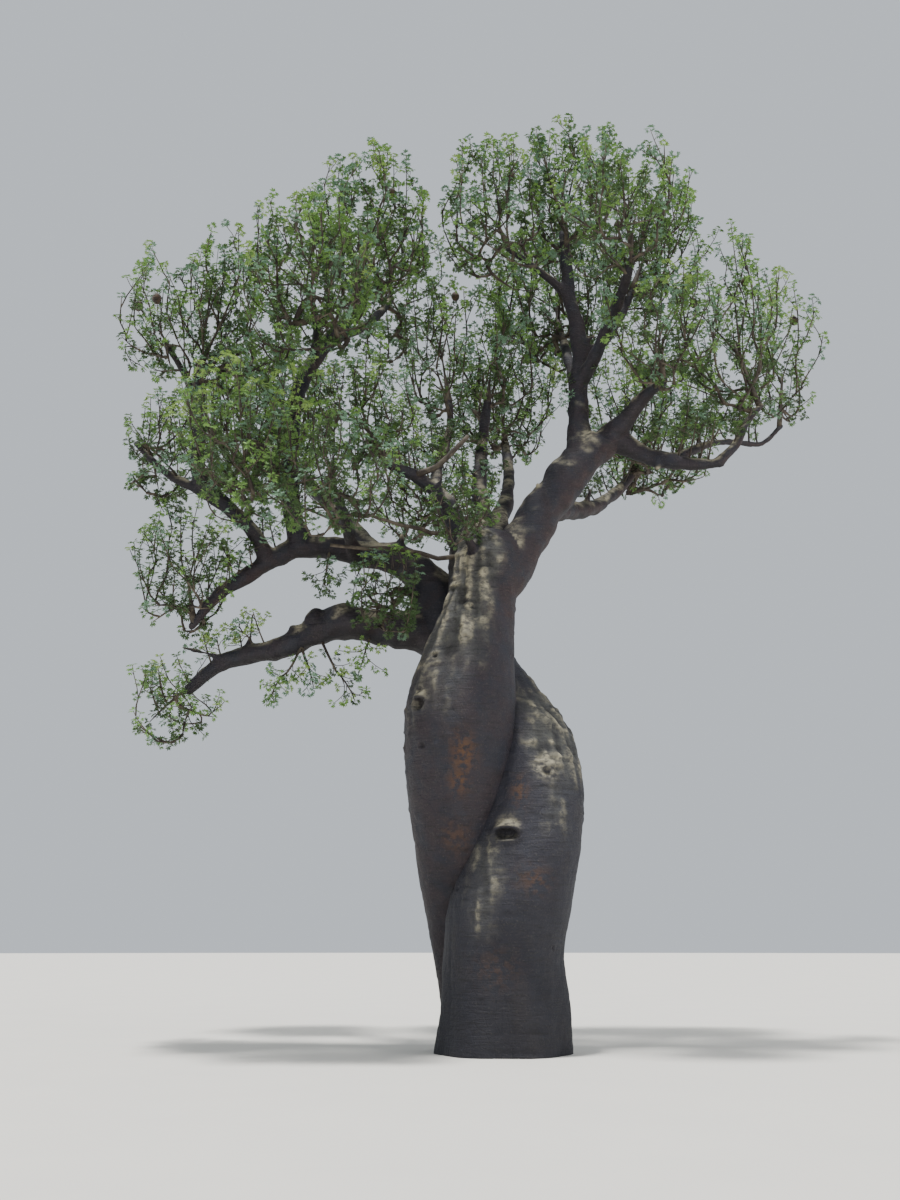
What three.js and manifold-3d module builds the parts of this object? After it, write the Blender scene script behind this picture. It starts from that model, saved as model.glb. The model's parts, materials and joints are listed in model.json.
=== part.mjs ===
// Baobab tree: two trunks from one root that wind round each other under one shared crown.
// Millimetres. +X is to the viewer's right, +Y away from the viewer and +Z up.
// The origin is the middle of the flat cut under the right trunk, at ground level.

import * as THREE from 'three';
import { mergeVertices } from 'three/addons/utils/BufferGeometryUtils.js';
import Module from 'manifold-3d';

const wasm = await Module();
wasm.setup();

// Clearances between neighbouring pieces
const GAP = 0.3;
const SPACE_GAP = 25;
const LIMB_GAP = 45;

// Facets
const TRUNK_SIDES = 16;
const TRUNK_RINGS = 15;
const DOME_RINGS = 3;
const POLE_SHORT = 0.5;
const LIMB_STEP = 650;
const LEAST_STEPS = 3;
const LIMB_SIDES = [{ over: 250, sides: 9 }, { over: 120, sides: 7 }, { over: 0, sides: 5 }];
const TWIG_SIDES = 3;
const FACE_TURN = 0.25;
const BALL = { around: 8, down: 6 };
const RIM = { round: 5, along: 12 };
const STEEP = 0.9;
const WELD = 1e-3;

// Leaves, each of which stands for a spray, and the twigs that carry them
const LEAF = {
  length: 720, width: 480, thick: 24, sunk: 14, waist: 0.56, turns: 9,
  end: { share: 1, spread: 0.15 }, side: { share: 0.55, spread: 0.62 },
};
const TWIG = { radius: 18, longest: 800, fork: [0.5], aheadPull: 0.7, upPull: 0.2 };
const STEM = {
  setBack: 0.1, foot: 0.85, tip: 36, share: 0.8, buds: 14, firstBud: 0.15, lastBud: 0.91,
};
const SHELLS = { shares: [0.54, 0.54, 0.54, 0.26], jitter: 0.08, turn: 0.6 };
const FRUIT = { radius: 75, stretch: 1.25, proud: 0.6 };

const BARK = { pale: 0x9b948a, grey: 0x85807a, dark: 0x6b625b };
const GREENS = [0x6f7f3c, 0x7c8a48, 0x62743a, 0x869150, 0x70804a];
const ROUGHNESS = { bark: 0.9, leaves: 0.7 };
const FIRST_SEED = 100;

// Trunks. A station is a height on the axis, the axis there in plan, and the radius.
// The left trunk's foot stands behind the right one, and it crosses to the front above.
const TRUNKS = {
  trunk_left: {
    dome: { from: 7560, height: 520 },
    flutes: { count: 5, depth: 0.05, reach: 1100, phase: 0.6 },
    stations: [
      { z: 0, x: -250, y: 850, r: 660 },
      { z: 900, x: -430, y: 690, r: 580 },
      { z: 1900, x: -620, y: 450, r: 550 },
      { z: 2800, x: -620, y: 80, r: 700 },
      { z: 4000, x: -660, y: -250, r: 820 },
      { z: 5100, x: -630, y: -400, r: 860 },
      { z: 6000, x: -510, y: -380, r: 720 },
      { z: 6900, x: -300, y: -300, r: 560 },
      { z: 7560, x: -190, y: -250, r: 600 },
    ],
  },
  trunk_right: {
    dome: { from: 6700, height: 420 },
    flutes: { count: 6, depth: 0.04, reach: 900, phase: 0.2 },
    stations: [
      { z: 0, x: 0, y: 0, r: 985 },
      { z: 600, x: 20, y: -60, r: 955 },
      { z: 1300, x: -15, y: -110, r: 910 },
      { z: 2200, x: 120, y: -190, r: 925 },
      { z: 3000, x: 310, y: -150, r: 900 },
      { z: 3960, x: 400, y: 50, r: 900 },
      { z: 4860, x: 290, y: 300, r: 840 },
      { z: 5530, x: -50, y: 480, r: 740 },
      { z: 6100, x: -370, y: 540, r: 640 },
      { z: 6700, x: -720, y: 560, r: 600 },
    ],
  },
};

// Marks on the trunks, placed by height and by the angle round the trunk's axis
const KNOB = {
  trunk: 'trunk_left', z: 5120, angle: 222, radius: 125, squash: 0.8, proud: 55, hollow: 70, drop: 105,
};
const LEDGE = {
  trunk: 'trunk_right', z: 4170, angle: 287, radius: 150, squash: 0.8, proud: 30, hollow: 0, drop: 0,
};
const SCAR = {
  trunk: 'trunk_right', z: 3150, angle: 250, radius: 120, rim: 38, stretch: [1.15, 0.8, 1],
  hollow: 95, squash: 0.7,
};

// Boughs, in the order in which they are cut clear of each other. Each leaves its parent at a
// share of the parent's length, or at a height on a trunk, and follows its headings (degrees
// from +X towards +Y) and rises (degrees above level) over its length while its radius tapers.
const BOUGHS = [
  {
    name: 'right', parent: 'trunk_left', at: 7000, length: 3650,
    heading: [10, 8, 10], rise: [46, 60, 52, 42], radius: [400, 370, 350, 325, 215],
  },
  {
    name: 'left_upper', parent: 'trunk_right', at: 6620, length: 3400,
    heading: [-172, -180, -168], rise: [34, 68, 28, 6, 16, -22], radius: [500, 400, 290, 220, 180, 160],
  },
  {
    name: 'left_lower', parent: 'trunk_right', at: 6350, length: 5050,
    heading: [-176, -190, -192], rise: [16, 16, 4, 0, -24, -12, -18, -58],
    radius: [460, 350, 300, 285, 230, 170, 140, 100],
  },
  {
    name: 'rear', parent: 'trunk_right', at: 6500, length: 4900,
    heading: [86, 96, 114], rise: [48, 48, 50], radius: [380, 240, 165, 100],
  },
  {
    name: 'right_leader', parent: 'right', at: 0.8, length: 4450,
    heading: [72, 190, 210], rise: [78, 84, 102, 74, 84, 92], radius: [240, 185, 165, 140, 110, 88],
  },
  {
    name: 'right_arm', parent: 'right', at: 1, length: 1950,
    heading: [-6, -12, -12], rise: [-36, -28, -10, -2], radius: [200, 140, 115, 64],
  },
  {
    name: 'right_rise', parent: 'right', at: 0.97, length: 1450,
    heading: [-42, -54], rise: [32, 34, 10], radius: [190, 130, 92],
  },
  {
    name: 'right_back', parent: 'right', at: 0.5, length: 4250,
    heading: [60, 58, 54], rise: [12, 26, 44], radius: [210, 160, 120, 90],
  },
  {
    name: 'centre', parent: 'trunk_left', at: 7300, length: 3900,
    heading: [110, 84, 68], rise: [78, 70, 66, 72], radius: [260, 150, 110, 78],
  },
  {
    name: 'centre_left', parent: 'trunk_left', at: 7150, length: 2800,
    heading: [-180, -174, -130], rise: [62, 74, 34, -4], radius: [300, 200, 125, 80],
  },
  {
    name: 'centre_back', parent: 'trunk_left', at: 7250, length: 4800,
    heading: [78, 74, 98], rise: [46, 50, 52], radius: [290, 190, 120, 80],
  },
  {
    name: 'left_drop', parent: 'left_upper', at: 0.98, length: 2150,
    heading: [-166, -168, -170], rise: [-50, -22, -52, -58], radius: [155, 150, 115, 62],
  },
  {
    name: 'left_rise', parent: 'left_upper', at: 0.93, length: 5150,
    heading: [-170, -10, 20], rise: [72, 74, 88, 66, 52, 88], radius: [175, 150, 140, 125, 90],
  },
  {
    name: 'left_back', parent: 'left_upper', at: 0.5, length: 4500,
    heading: [124, 128, 130], rise: [36, 42, 42], radius: [180, 140, 100],
  },
  {
    name: 'left_front', parent: 'left_upper', at: 0.66, length: 2100,
    heading: [-96, -90], rise: [14, 0], radius: [130, 105, 80],
  },
  {
    name: 'low_spur', parent: 'left_upper', at: 0.2, length: 1000,
    heading: [-126, -126], rise: [-2, -8], radius: [95, 60],
  },
  {
    name: 'left_upright', parent: 'left_drop', at: 0.2, length: 3850,
    heading: [-136, -162, -182, -184], rise: [64, 38, 44, 94, 80, 94], radius: [135, 130, 115, 85],
  },
  {
    name: 'leader_back', parent: 'right_leader', at: 0.3, length: 3350,
    heading: [84, 100], rise: [14, 58, 50], radius: [130, 105, 78],
  },
  {
    name: 'leader_front', parent: 'right_leader', at: 0.34, length: 2500,
    heading: [-60, -75], rise: [30, 46], radius: [125, 100, 72],
  },
  {
    name: 'top_right', parent: 'right_leader', at: 0.45, length: 2050,
    heading: [20, 32], rise: [36, 58, 70], radius: [105, 88, 62],
  },
  {
    name: 'top_left', parent: 'right_leader', at: 0.7, length: 1450,
    heading: [-160, -148], rise: [46, 12], radius: [80, 58],
  },
  {
    name: 'right_upright', parent: 'right_arm', at: 0.96, length: 1450,
    heading: [-12, 24, 14], rise: [38, 60, 46], radius: [85, 72, 56],
  },
  {
    name: 'right_outer', parent: 'right_arm', at: 0.55, length: 3000,
    heading: [34, 34, 14], rise: [28, 28, 2, 60], radius: [85, 72, 60, 50],
  },
  {
    name: 'centre_fork', parent: 'centre_left', at: 0.62, length: 2600,
    heading: [100, 62, 112], rise: [68, 46, 84], radius: [105, 88, 66],
  },
  {
    name: 'crown_spur', parent: 'trunk_left', at: 7420, length: 950,
    heading: [-112, -112], rise: [12, 24], radius: [100, 55],
  },
  {
    name: 'left_rise_front', parent: 'left_rise', at: 0.66, length: 1600,
    heading: [-76, -96], rise: [28, -6], radius: [100, 82, 60],
  },
  {
    name: 'left_rise_back', parent: 'left_rise', at: 0.72, length: 3400,
    heading: [60, 72], rise: [38, 38, 50], radius: [105, 85, 66],
  },
  {
    name: 'left_mid_front', parent: 'left_rise', at: 0.24, length: 1450,
    heading: [-90, -112], rise: [-14, 16], radius: [95, 78, 58],
  },
  {
    name: 'left_fork', parent: 'left_upright', at: 0.72, length: 1400,
    heading: [-138, -144], rise: [78, 46], radius: [85, 60],
  },
  {
    name: 'left_far', parent: 'left_upright', at: 0.26, length: 2200,
    heading: [-174, -176, -212], rise: [28, 32, 52], radius: [100, 80, 55],
  },
];

// Foliage masses. Each grows from the tip of its bough inside an ellipsoid of its own.
const MASSES = [
  { bough: 'right_leader', middle: [1320, 0, 14500], half: [1300, 1440, 1400], twigs: 7, fruit: 2 },
  { bough: 'top_left', middle: [-50, -600, 13700], half: [1060, 1500, 1620], twigs: 7, fruit: 1 },
  { bough: 'top_right', middle: [2860, 700, 13950], half: [1140, 1440, 1550], twigs: 7, fruit: 2 },
  { bough: 'leader_back', middle: [1320, 3000, 14090], half: [1560, 1680, 1740], twigs: 7, fruit: 0 },
  { bough: 'leader_front', middle: [1950, -2150, 13000], half: [1150, 1300, 1200], twigs: 6, fruit: 0 },
  { bough: 'right_upright', middle: [4040, 0, 11850], half: [1100, 1560, 1800], twigs: 7, fruit: 2 },
  { bough: 'right_outer', middle: [5330, 1300, 11900], half: [770, 1260, 1600], twigs: 6, fruit: 1 },
  { bough: 'right_rise', middle: [2640, -1400, 11150], half: [1020, 1320, 1200], twigs: 6, fruit: 1 },
  { bough: 'right_back', middle: [3150, 3200, 11350], half: [1440, 1680, 1560], twigs: 7, fruit: 0 },
  { bough: 'centre', middle: [-30, 1150, 11950], half: [910, 1140, 1560], twigs: 6, fruit: 0 },
  { bough: 'centre_fork', middle: [-1000, 900, 12150], half: [910, 1320, 1800], twigs: 6, fruit: 1 },
  { bough: 'centre_back', middle: [190, 3200, 11990], half: [1320, 1500, 1560], twigs: 6, fruit: 0 },
  { bough: 'centre_left', middle: [-2310, -1200, 9800], half: [1100, 1250, 1250], twigs: 7, fruit: 0 },
  { bough: 'left_rise', middle: [-2240, 150, 13850], half: [1260, 1560, 1650], twigs: 7, fruit: 1 },
  { bough: 'left_rise_front', middle: [-3100, -1900, 11700], half: [1250, 1500, 1600], twigs: 7, fruit: 0 },
  { bough: 'left_rise_back', middle: [-2050, 2800, 14300], half: [1120, 1560, 1700], twigs: 6, fruit: 0 },
  { bough: 'left_upright', middle: [-4620, -300, 12050], half: [1150, 1500, 1600], twigs: 7, fruit: 1 },
  { bough: 'left_fork', middle: [-5650, -800, 11450], half: [720, 1320, 1450], twigs: 6, fruit: 2 },
  { bough: 'left_far', middle: [-5550, 0, 9600], half: [960, 1300, 1250], twigs: 7, fruit: 0 },
  { bough: 'left_drop', middle: [-5150, 0, 7600], half: [950, 1150, 1450], twigs: 5, fruit: 0 },
  { bough: 'left_lower', middle: [-5560, 1300, 5560], half: [940, 1200, 890], twigs: 5, fruit: 0 },
  { bough: 'left_front', middle: [-2650, -2200, 8400], half: [1200, 1350, 1100], twigs: 6, fruit: 0 },
  { bough: 'left_mid_front', middle: [-4000, -1700, 9100], half: [1250, 1450, 1400], twigs: 7, fruit: 0 },
  { bough: 'left_back', middle: [-4590, 3500, 11740], half: [1560, 1800, 1820], twigs: 7, fruit: 0 },
  { bough: 'rear', middle: [-1210, 4150, 10680], half: [1500, 1620, 1580], twigs: 7, fruit: 0 },
  { bough: 'low_spur', middle: [-1750, -700, 6850], half: [670, 740, 770], twigs: 4, fruit: 0 },
  { bough: 'crown_spur', middle: [-560, -1250, 8060], half: [580, 620, 580], twigs: 4, fruit: 0 },
];

const UP = new THREE.Vector3(0, 0, 1);
const GOLDEN_ANGLE = Math.PI * (3 - Math.sqrt(5));
const radians = THREE.MathUtils.degToRad;
const lerp = THREE.MathUtils.lerp;
const vector = ([x, y, z]) => new THREE.Vector3(x, y, z);

// A repeatable stream of numbers from 0 to 1.
function seededRandom(seed) {
  let state = seed >>> 0;
  return () => {
    state = (state * 1664525 + 1013904223) >>> 0;
    return state / 2 ** 32;
  };
}

// The value at a share of a list of evenly spaced values, on straight lines between them.
function along(list, share) {
  const place = THREE.MathUtils.clamp(share, 0, 1) * (list.length - 1);
  const step = Math.min(Math.floor(place), list.length - 2);
  return lerp(list[step], list[step + 1], place - step);
}

// A smooth curve through a trunk's stations: the value of one key at a height.
function stationValue(stations, key, z) {
  let i = 0;
  while (i < stations.length - 2 && z > stations[i + 1].z) {
    i += 1;
  }
  const [a, b] = [stations[i], stations[i + 1]];
  const slope = (p, q) => (q[key] - p[key]) / (q.z - p.z);
  const before = i > 0 ? slope(stations[i - 1], b) : slope(a, b);
  const after = i < stations.length - 2 ? slope(a, stations[i + 2]) : slope(a, b);
  const span = b.z - a.z;
  const t = Math.min((z - a.z) / span, 1);
  const t2 = t * t;
  const t3 = t2 * t;
  return (2 * t3 - 3 * t2 + 1) * a[key] + (t3 - 2 * t2 + t) * span * before
    + (3 * t2 - 2 * t3) * b[key] + (t3 - t2) * span * after;
}

function trunkAxis(trunk, z) {
  const x = stationValue(trunk.stations, 'x', z);
  const y = stationValue(trunk.stations, 'y', z);
  return new THREE.Vector3(x, y, z);
}

// The radius at a height and an angle round the axis, with flutes that die out up the trunk.
function trunkRadius(trunk, z, angle) {
  const { count, depth, reach, phase } = trunk.flutes;
  const flute = 1 + depth * Math.exp(-z / reach) * Math.cos(count * angle + phase);
  return stationValue(trunk.stations, 'r', z) * flute;
}

// A closed, indexed geometry as a solid.
function solidOf(geometry) {
  const bare = geometry.clone();
  bare.deleteAttribute('normal');
  bare.deleteAttribute('uv');
  const merged = mergeVertices(bare, WELD);
  return new wasm.Manifold(new wasm.Mesh({
    numProp: 3,
    vertProperties: new Float32Array(merged.attributes.position.array),
    triVerts: new Uint32Array(merged.index.array),
  }));
}

// The largest piece of a solid: loose scraps and sealed hollows are dropped.
function mainPiece(solid) {
  const pieces = solid.decompose();
  return pieces.reduce((best, piece) => (piece.volume() > best.volume() ? piece : best));
}

// Moves each vertex of a geometry to where a rule puts it.
function reshape(geometry, rule) {
  const positions = geometry.attributes.position;
  const point = new THREE.Vector3();
  for (let i = 0; i < positions.count; i += 1) {
    point.fromBufferAttribute(positions, i);
    positions.setXYZ(i, ...rule(point).toArray());
  }
  return geometry;
}

// A trunk: level rings up its axis, closed by a dome. Its underside is flat at ground level.
function trunkSolid(trunk, grow = 0) {
  const { from, height } = trunk.dome;
  const rings = TRUNK_RINGS + DOME_RINGS;
  const tube = new THREE.CylinderGeometry(1, 1, 1, TRUNK_SIDES, rings);
  return solidOf(reshape(tube, (p) => {
    const ring = Math.round((p.y + 0.5) * rings);
    const turn = Math.max(ring - TRUNK_RINGS, 0) / (DOME_RINGS + POLE_SHORT) * Math.PI / 2;
    const level = Math.min(ring / TRUNK_RINGS, 1) * from;
    const axis = trunkAxis(trunk, level);
    const angle = Math.atan2(-p.z, p.x);
    const radius = (trunkRadius(trunk, level, angle) * Math.cos(turn) + grow) * Math.hypot(p.x, p.z);
    return new THREE.Vector3(
      axis.x + radius * Math.cos(angle),
      axis.y + radius * Math.sin(angle),
      level + height * Math.sin(turn) + (ring === rings ? grow : 0),
    );
  }));
}

// A frame on a trunk's surface: outward normal, and the point where it leaves the bark.
function onTrunk({ trunk, z, angle }) {
  const turn = radians(angle);
  const out = new THREE.Vector3(Math.cos(turn), Math.sin(turn), 0);
  const radius = trunkRadius(TRUNKS[trunk], z, turn);
  return { out, point: trunkAxis(TRUNKS[trunk], z).addScaledVector(out, radius) };
}

function ball(middle, radius, squash = 1) {
  const sphere = new THREE.SphereGeometry(radius, BALL.around, BALL.down);
  sphere.rotateX(Math.PI / 2);
  sphere.scale(1, 1, squash);
  sphere.translate(...middle.toArray());
  return solidOf(sphere);
}

// A branch knob that stands out of the bark, with the hollow under it.
function withKnob(solid, knob) {
  const { out, point } = onTrunk(knob);
  const middle = point.clone().addScaledVector(out, knob.proud - knob.radius);
  const knobbed = solid.add(ball(middle, knob.radius, knob.squash));
  if (!knob.hollow) {
    return knobbed;
  }
  const hollow = point.clone().addScaledVector(UP, -knob.drop);
  return knobbed.subtract(ball(hollow, knob.hollow));
}

// A healed scar: a raised oval rim round a shallow dish.
function withScar(solid, scar) {
  const { out, point } = onTrunk(scar);
  const rim = new THREE.TorusGeometry(scar.radius, scar.rim, RIM.round, RIM.along);
  rim.scale(...scar.stretch);
  rim.applyQuaternion(new THREE.Quaternion().setFromUnitVectors(UP, out));
  rim.translate(...point.toArray());
  return solid.add(solidOf(rim)).subtract(ball(point, scar.hollow, scar.squash));
}

// The middle line of a bough, as points a step apart.
function boughLine(bough, limbs) {
  const trunk = TRUNKS[bough.parent];
  const start = trunk ? trunkAxis(trunk, bough.at) : limbs[bough.parent].curve.getPoint(bough.at);
  const steps = Math.max(Math.round(bough.length / LIMB_STEP), LEAST_STEPS);
  const line = [start.clone()];
  for (let i = 0; i < steps; i += 1) {
    const share = (i + 0.5) / steps;
    const heading = radians(along(bough.heading, share));
    const rise = radians(along(bough.rise, share));
    const level = Math.cos(rise);
    const step = new THREE.Vector3(
      level * Math.cos(heading), level * Math.sin(heading), Math.sin(rise),
    );
    line.push(line.at(-1).clone().addScaledVector(step, bough.length / steps));
  }
  return line;
}

// Frames along points, not twisted: the way ahead and two ways across.
function tubeFrames(points) {
  const last = points.length - 1;
  let side = null;
  return points.map((_, i) => {
    const ahead = points[Math.min(i + 1, last)].clone().sub(points[Math.max(i - 1, 0)]).normalize();
    if (!side) {
      side = Math.abs(ahead.z) > STEEP ? new THREE.Vector3(1, 0, 0) : UP.clone();
    }
    side = side.clone().addScaledVector(ahead, -side.dot(ahead)).normalize();
    return { ahead, side, across: side.clone().cross(ahead) };
  });
}

// A tapering tube through points, flat at both ends.
function tubeSolid(points, radii, sides, grow = 0) {
  const rings = points.length - 1;
  const frames = tubeFrames(points);
  const tube = new THREE.CylinderGeometry(1, 1, 1, sides, rings);
  return solidOf(reshape(tube, (p) => {
    const ring = Math.round((p.y + 0.5) * rings);
    const { ahead, side, across } = frames[ring];
    const end = ring === 0 ? -grow : (ring === rings ? grow : 0);
    const radius = radii[ring] + grow;
    return points[ring].clone()
      .addScaledVector(side, p.x * radius)
      .addScaledVector(across, p.z * radius)
      .addScaledVector(ahead, end);
  }));
}

// The distance from a point to a limb's bark, less than zero inside it.
function limbDistance(limb, point) {
  let nearest = Infinity;
  for (let i = 0; i < limb.line.length - 1; i += 1) {
    const stretch = new THREE.Line3(limb.line[i], limb.line[i + 1]);
    const share = stretch.closestPointToPointParameter(point, true);
    const axis = stretch.at(share, new THREE.Vector3());
    const radius = lerp(limb.radii[i], limb.radii[i + 1], share);
    nearest = Math.min(nearest, axis.distanceTo(point) - radius);
  }
  return nearest;
}

// Trunks and boughs, each cut clear of all that were made before it.
function growLimbs() {
  const limbs = {};
  const grown = [];
  const cutClear = (solid) => mainPiece(grown.reduce((left, other) => left.subtract(other), solid));
  for (const [name, trunk] of Object.entries(TRUNKS)) {
    const tops = Array.from({ length: TRUNK_RINGS + 1 }, (_, i) => i / TRUNK_RINGS * trunk.dome.from);
    const line = tops.map((z) => trunkAxis(trunk, z));
    const radii = tops.map((z) => stationValue(trunk.stations, 'r', z));
    limbs[name] = { line, radii, solid: cutClear(trunkSolid(trunk)) };
    grown.push(trunkSolid(trunk, GAP));
  }
  for (const bough of BOUGHS) {
    const line = boughLine(bough, limbs);
    const radii = line.map((_, i) => along(bough.radius, i / (line.length - 1)));
    const { sides } = LIMB_SIDES.find(({ over }) => bough.radius[0] > over);
    const curve = new THREE.CatmullRomCurve3(line);
    const solid = cutClear(tubeSolid(line, radii, sides));
    const clear = tubeSolid(line, radii, sides, GAP);
    limbs[bough.name] = { line, radii, curve, solid, clear };
    grown.push(clear);
  }
  limbs[KNOB.trunk].solid = withKnob(limbs[KNOB.trunk].solid, KNOB);
  limbs[LEDGE.trunk].solid = withKnob(limbs[LEDGE.trunk].solid, LEDGE);
  limbs[SCAR.trunk].solid = withScar(limbs[SCAR.trunk].solid, SCAR);
  return limbs;
}

// How far a point lies inside the ellipsoid of a mass: 0 at its middle and 1 at its skin.
function depthIn(mass, point) {
  const [dx, dy, dz] = point.clone().sub(vector(mass.middle)).toArray();
  const [hx, hy, hz] = mass.half;
  return Math.hypot(dx / hx, dy / hy, dz / hz);
}

// Which mass a point belongs to, where ellipsoids overlap: the one with the least of this.
function claim(mass, point) {
  const reach = (mass.half[0] + mass.half[1] + mass.half[2]) / 3;
  return point.distanceToSquared(vector(mass.middle)) - reach ** 2;
}

// The space of a mass: its ellipsoid, less what lies nearer to other masses or to a limb.
function inSpace(mass, point, limbs) {
  if (depthIn(mass, point) > 1) {
    return false;
  }
  const own = claim(mass, point);
  const mine = MASSES.every((other) => {
    const apart = vector(other.middle).distanceTo(vector(mass.middle));
    return other === mass || claim(other, point) - own > 2 * apart * SPACE_GAP;
  });
  return mine && Object.values(limbs).every((limb) => limbDistance(limb, point) > LIMB_GAP);
}

// Evenly spread places for twig ends: a spiral over the ellipsoid, two shells deep.
function twigEnds(mass, random, limbs) {
  const ends = [];
  for (let i = 0; i < mass.twigs; i += 1) {
    const z = 1 - 2 * (i + 0.5) / mass.twigs;
    const ring = Math.sqrt(1 - z * z);
    const turn = i * GOLDEN_ANGLE + random() * SHELLS.turn;
    const shell = SHELLS.shares[i % SHELLS.shares.length] + random() * SHELLS.jitter;
    const [hx, hy, hz] = mass.half;
    const out = new THREE.Vector3(
      ring * Math.cos(turn) * hx, ring * Math.sin(turn) * hy, z * hz,
    );
    const end = vector(mass.middle).addScaledVector(out, shell);
    if (inSpace(mass, end, limbs)) {
      ends.push(end);
    }
  }
  return ends;
}

// Twigs: a stem from the bough's tip, and from it, nearest end first, a twig to each end. A twig
// leaves the stem, or the middle of a long twig, at a bud that nothing else has grown from.
function growTwigs(mass, limbs, random) {
  const limb = limbs[mass.bough];
  const [before, tip] = limb.line.slice(-2);
  const foot = tip.clone().lerp(before, STEM.setBack);
  const twigs = [];
  const buds = [];
  const grow = (start, end, thick, thin, shares) => {
    const ahead = end.clone().sub(start).normalize();
    twigs.push({ start, end, ahead, thick, thin });
    buds.push(...shares.map((share) => ({ ahead, point: start.clone().lerp(end, share) })));
  };
  const stemShares = Array.from({ length: STEM.buds }, (_, i) => (
    lerp(STEM.firstBud, STEM.lastBud, i / (STEM.buds - 1))
  ));
  const stemEnd = foot.clone().lerp(vector(mass.middle), STEM.share);
  grow(foot, stemEnd, limb.radii.at(-1) * STEM.foot, STEM.tip, stemShares);
  const ends = twigEnds(mass, random, limbs);
  ends.sort((a, b) => a.distanceTo(foot) - b.distanceTo(foot));
  for (const end of ends) {
    const cost = ({ point, ahead }) => {
      const way = end.clone().sub(point);
      const reach = way.length();
      way.normalize();
      return reach * (1 + TWIG.aheadPull * (1 - way.dot(ahead)) - TWIG.upPull * way.z);
    };
    const bud = buds.reduce((best, other) => (cost(other) < cost(best) ? other : best));
    const middle = bud.point.clone().lerp(end, 0.5);
    if (inSpace(mass, middle, limbs)) {
      buds.splice(buds.indexOf(bud), 1);
      const forks = bud.point.distanceTo(end) > TWIG.longest ? TWIG.fork : [];
      grow(bud.point, end, TWIG.radius, TWIG.radius, forks);
    }
  }
  return twigs;
}

// A leaf blade: a diamond that is widest short of its middle, thin, with its root sunk in a twig.
function leafSolid(root, ahead, face) {
  const across = face.clone().cross(ahead).normalize();
  const flat = ahead.clone().cross(across);
  const blade = new THREE.OctahedronGeometry(1, 0);
  return solidOf(reshape(blade, (p) => {
    const onRib = Math.abs(p.x) < 0.5;
    const reach = onRib ? LEAF.length * LEAF.waist : LEAF.length * (p.x + 1) / 2;
    return root.clone()
      .addScaledVector(ahead, reach - LEAF.sunk)
      .addScaledVector(across, p.y * LEAF.width / 2)
      .addScaledVector(flat, p.z * LEAF.thick / 2);
  }));
}

// The places that a leaf has to keep in its mass: its point, its two shoulders and its middle.
function leafPlaces(root, ahead, face) {
  const across = face.clone().cross(ahead).normalize();
  const middle = root.clone().addScaledVector(ahead, LEAF.length * LEAF.waist);
  return [
    middle,
    root.clone().addScaledVector(ahead, LEAF.length),
    middle.clone().addScaledVector(across, LEAF.width / 2),
    middle.clone().addScaledVector(across, -LEAF.width / 2),
  ];
}

// The leaves of a twig: one that carries on from its end, and one from a flat side of it. A leaf
// is turned about until it keeps to its space, and left out where no turn does.
function leavesOn(mass, twig, limbs, random) {
  const solids = [];
  const { side } = tubeFrames([twig.start, twig.end])[0];
  for (const { share, spread } of [LEAF.end, LEAF.side]) {
    const root = twig.start.clone().lerp(twig.end, share);
    for (let turns = 0; turns < LEAF.turns; turns += 1) {
      const turn = (Math.floor(random() * TWIG_SIDES) - FACE_TURN) * 2 * Math.PI / TWIG_SIDES;
      const flat = side.clone().applyAxisAngle(twig.ahead, turn);
      const ahead = twig.ahead.clone().lerp(flat, spread).normalize();
      const face = flat.clone().cross(ahead).applyAxisAngle(ahead, random() * Math.PI);
      if (leafPlaces(root, ahead, face).every((place) => inSpace(mass, place, limbs))) {
        solids.push(leafSolid(root, ahead, face));
        break;
      }
    }
  }
  return solids;
}

// A round fruit past the end of a twig.
function fruitSolid({ end, ahead }) {
  const fruit = new THREE.IcosahedronGeometry(FRUIT.radius, 0);
  fruit.scale(1, 1, FRUIT.stretch);
  fruit.translate(...end.clone().addScaledVector(ahead, FRUIT.radius * FRUIT.proud).toArray());
  return solidOf(fruit);
}

// A mass of foliage: its twigs, with leaves and a few fruits on them, as one solid.
function massSolid(mass, limbs, seed) {
  const random = seededRandom(seed);
  const twigs = growTwigs(mass, limbs, random);
  const stalks = twigs.map(({ start, end, thick, thin }) => (
    tubeSolid([start, end], [thick, thin], TWIG_SIDES)
  ));
  const leaves = twigs.flatMap((twig) => leavesOn(mass, twig, limbs, random));
  const highest = [...twigs].sort((a, b) => b.end.z - a.end.z).slice(0, mass.fruit);
  const parts = [...stalks, ...leaves, ...highest.map(fruitSolid)];
  const whole = parts.reduce((joined, part) => joined.add(part));
  return mainPiece(whole.subtract(limbs[mass.bough].clear));
}

function meshOf(name, solid, colour, roughness) {
  const { vertProperties, triVerts } = solid.getMesh();
  const geometry = new THREE.BufferGeometry();
  geometry.setAttribute('position', new THREE.BufferAttribute(vertProperties, 3));
  geometry.setIndex(new THREE.BufferAttribute(triVerts, 1));
  geometry.computeVertexNormals();
  const material = new THREE.MeshStandardMaterial({ color: colour, roughness, metalness: 0 });
  const mesh = new THREE.Mesh(geometry, material);
  mesh.name = name;
  return mesh;
}

const limbs = growLimbs();
const tree = new THREE.Group();
tree.name = 'baobab_tree';

for (const name of Object.keys(TRUNKS)) {
  const colour = name === 'trunk_left' ? BARK.pale : BARK.grey;
  tree.add(meshOf(name, limbs[name].solid, colour, ROUGHNESS.bark));
}
for (const { name } of BOUGHS) {
  tree.add(meshOf(`bough_${name}`, limbs[name].solid, BARK.dark, ROUGHNESS.bark));
}
MASSES.forEach((mass, i) => {
  const solid = massSolid(mass, limbs, FIRST_SEED + i);
  const green = GREENS[i % GREENS.length];
  tree.add(meshOf(`foliage_${mass.bough}`, solid, green, ROUGHNESS.leaves));
});

export default tree;
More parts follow.
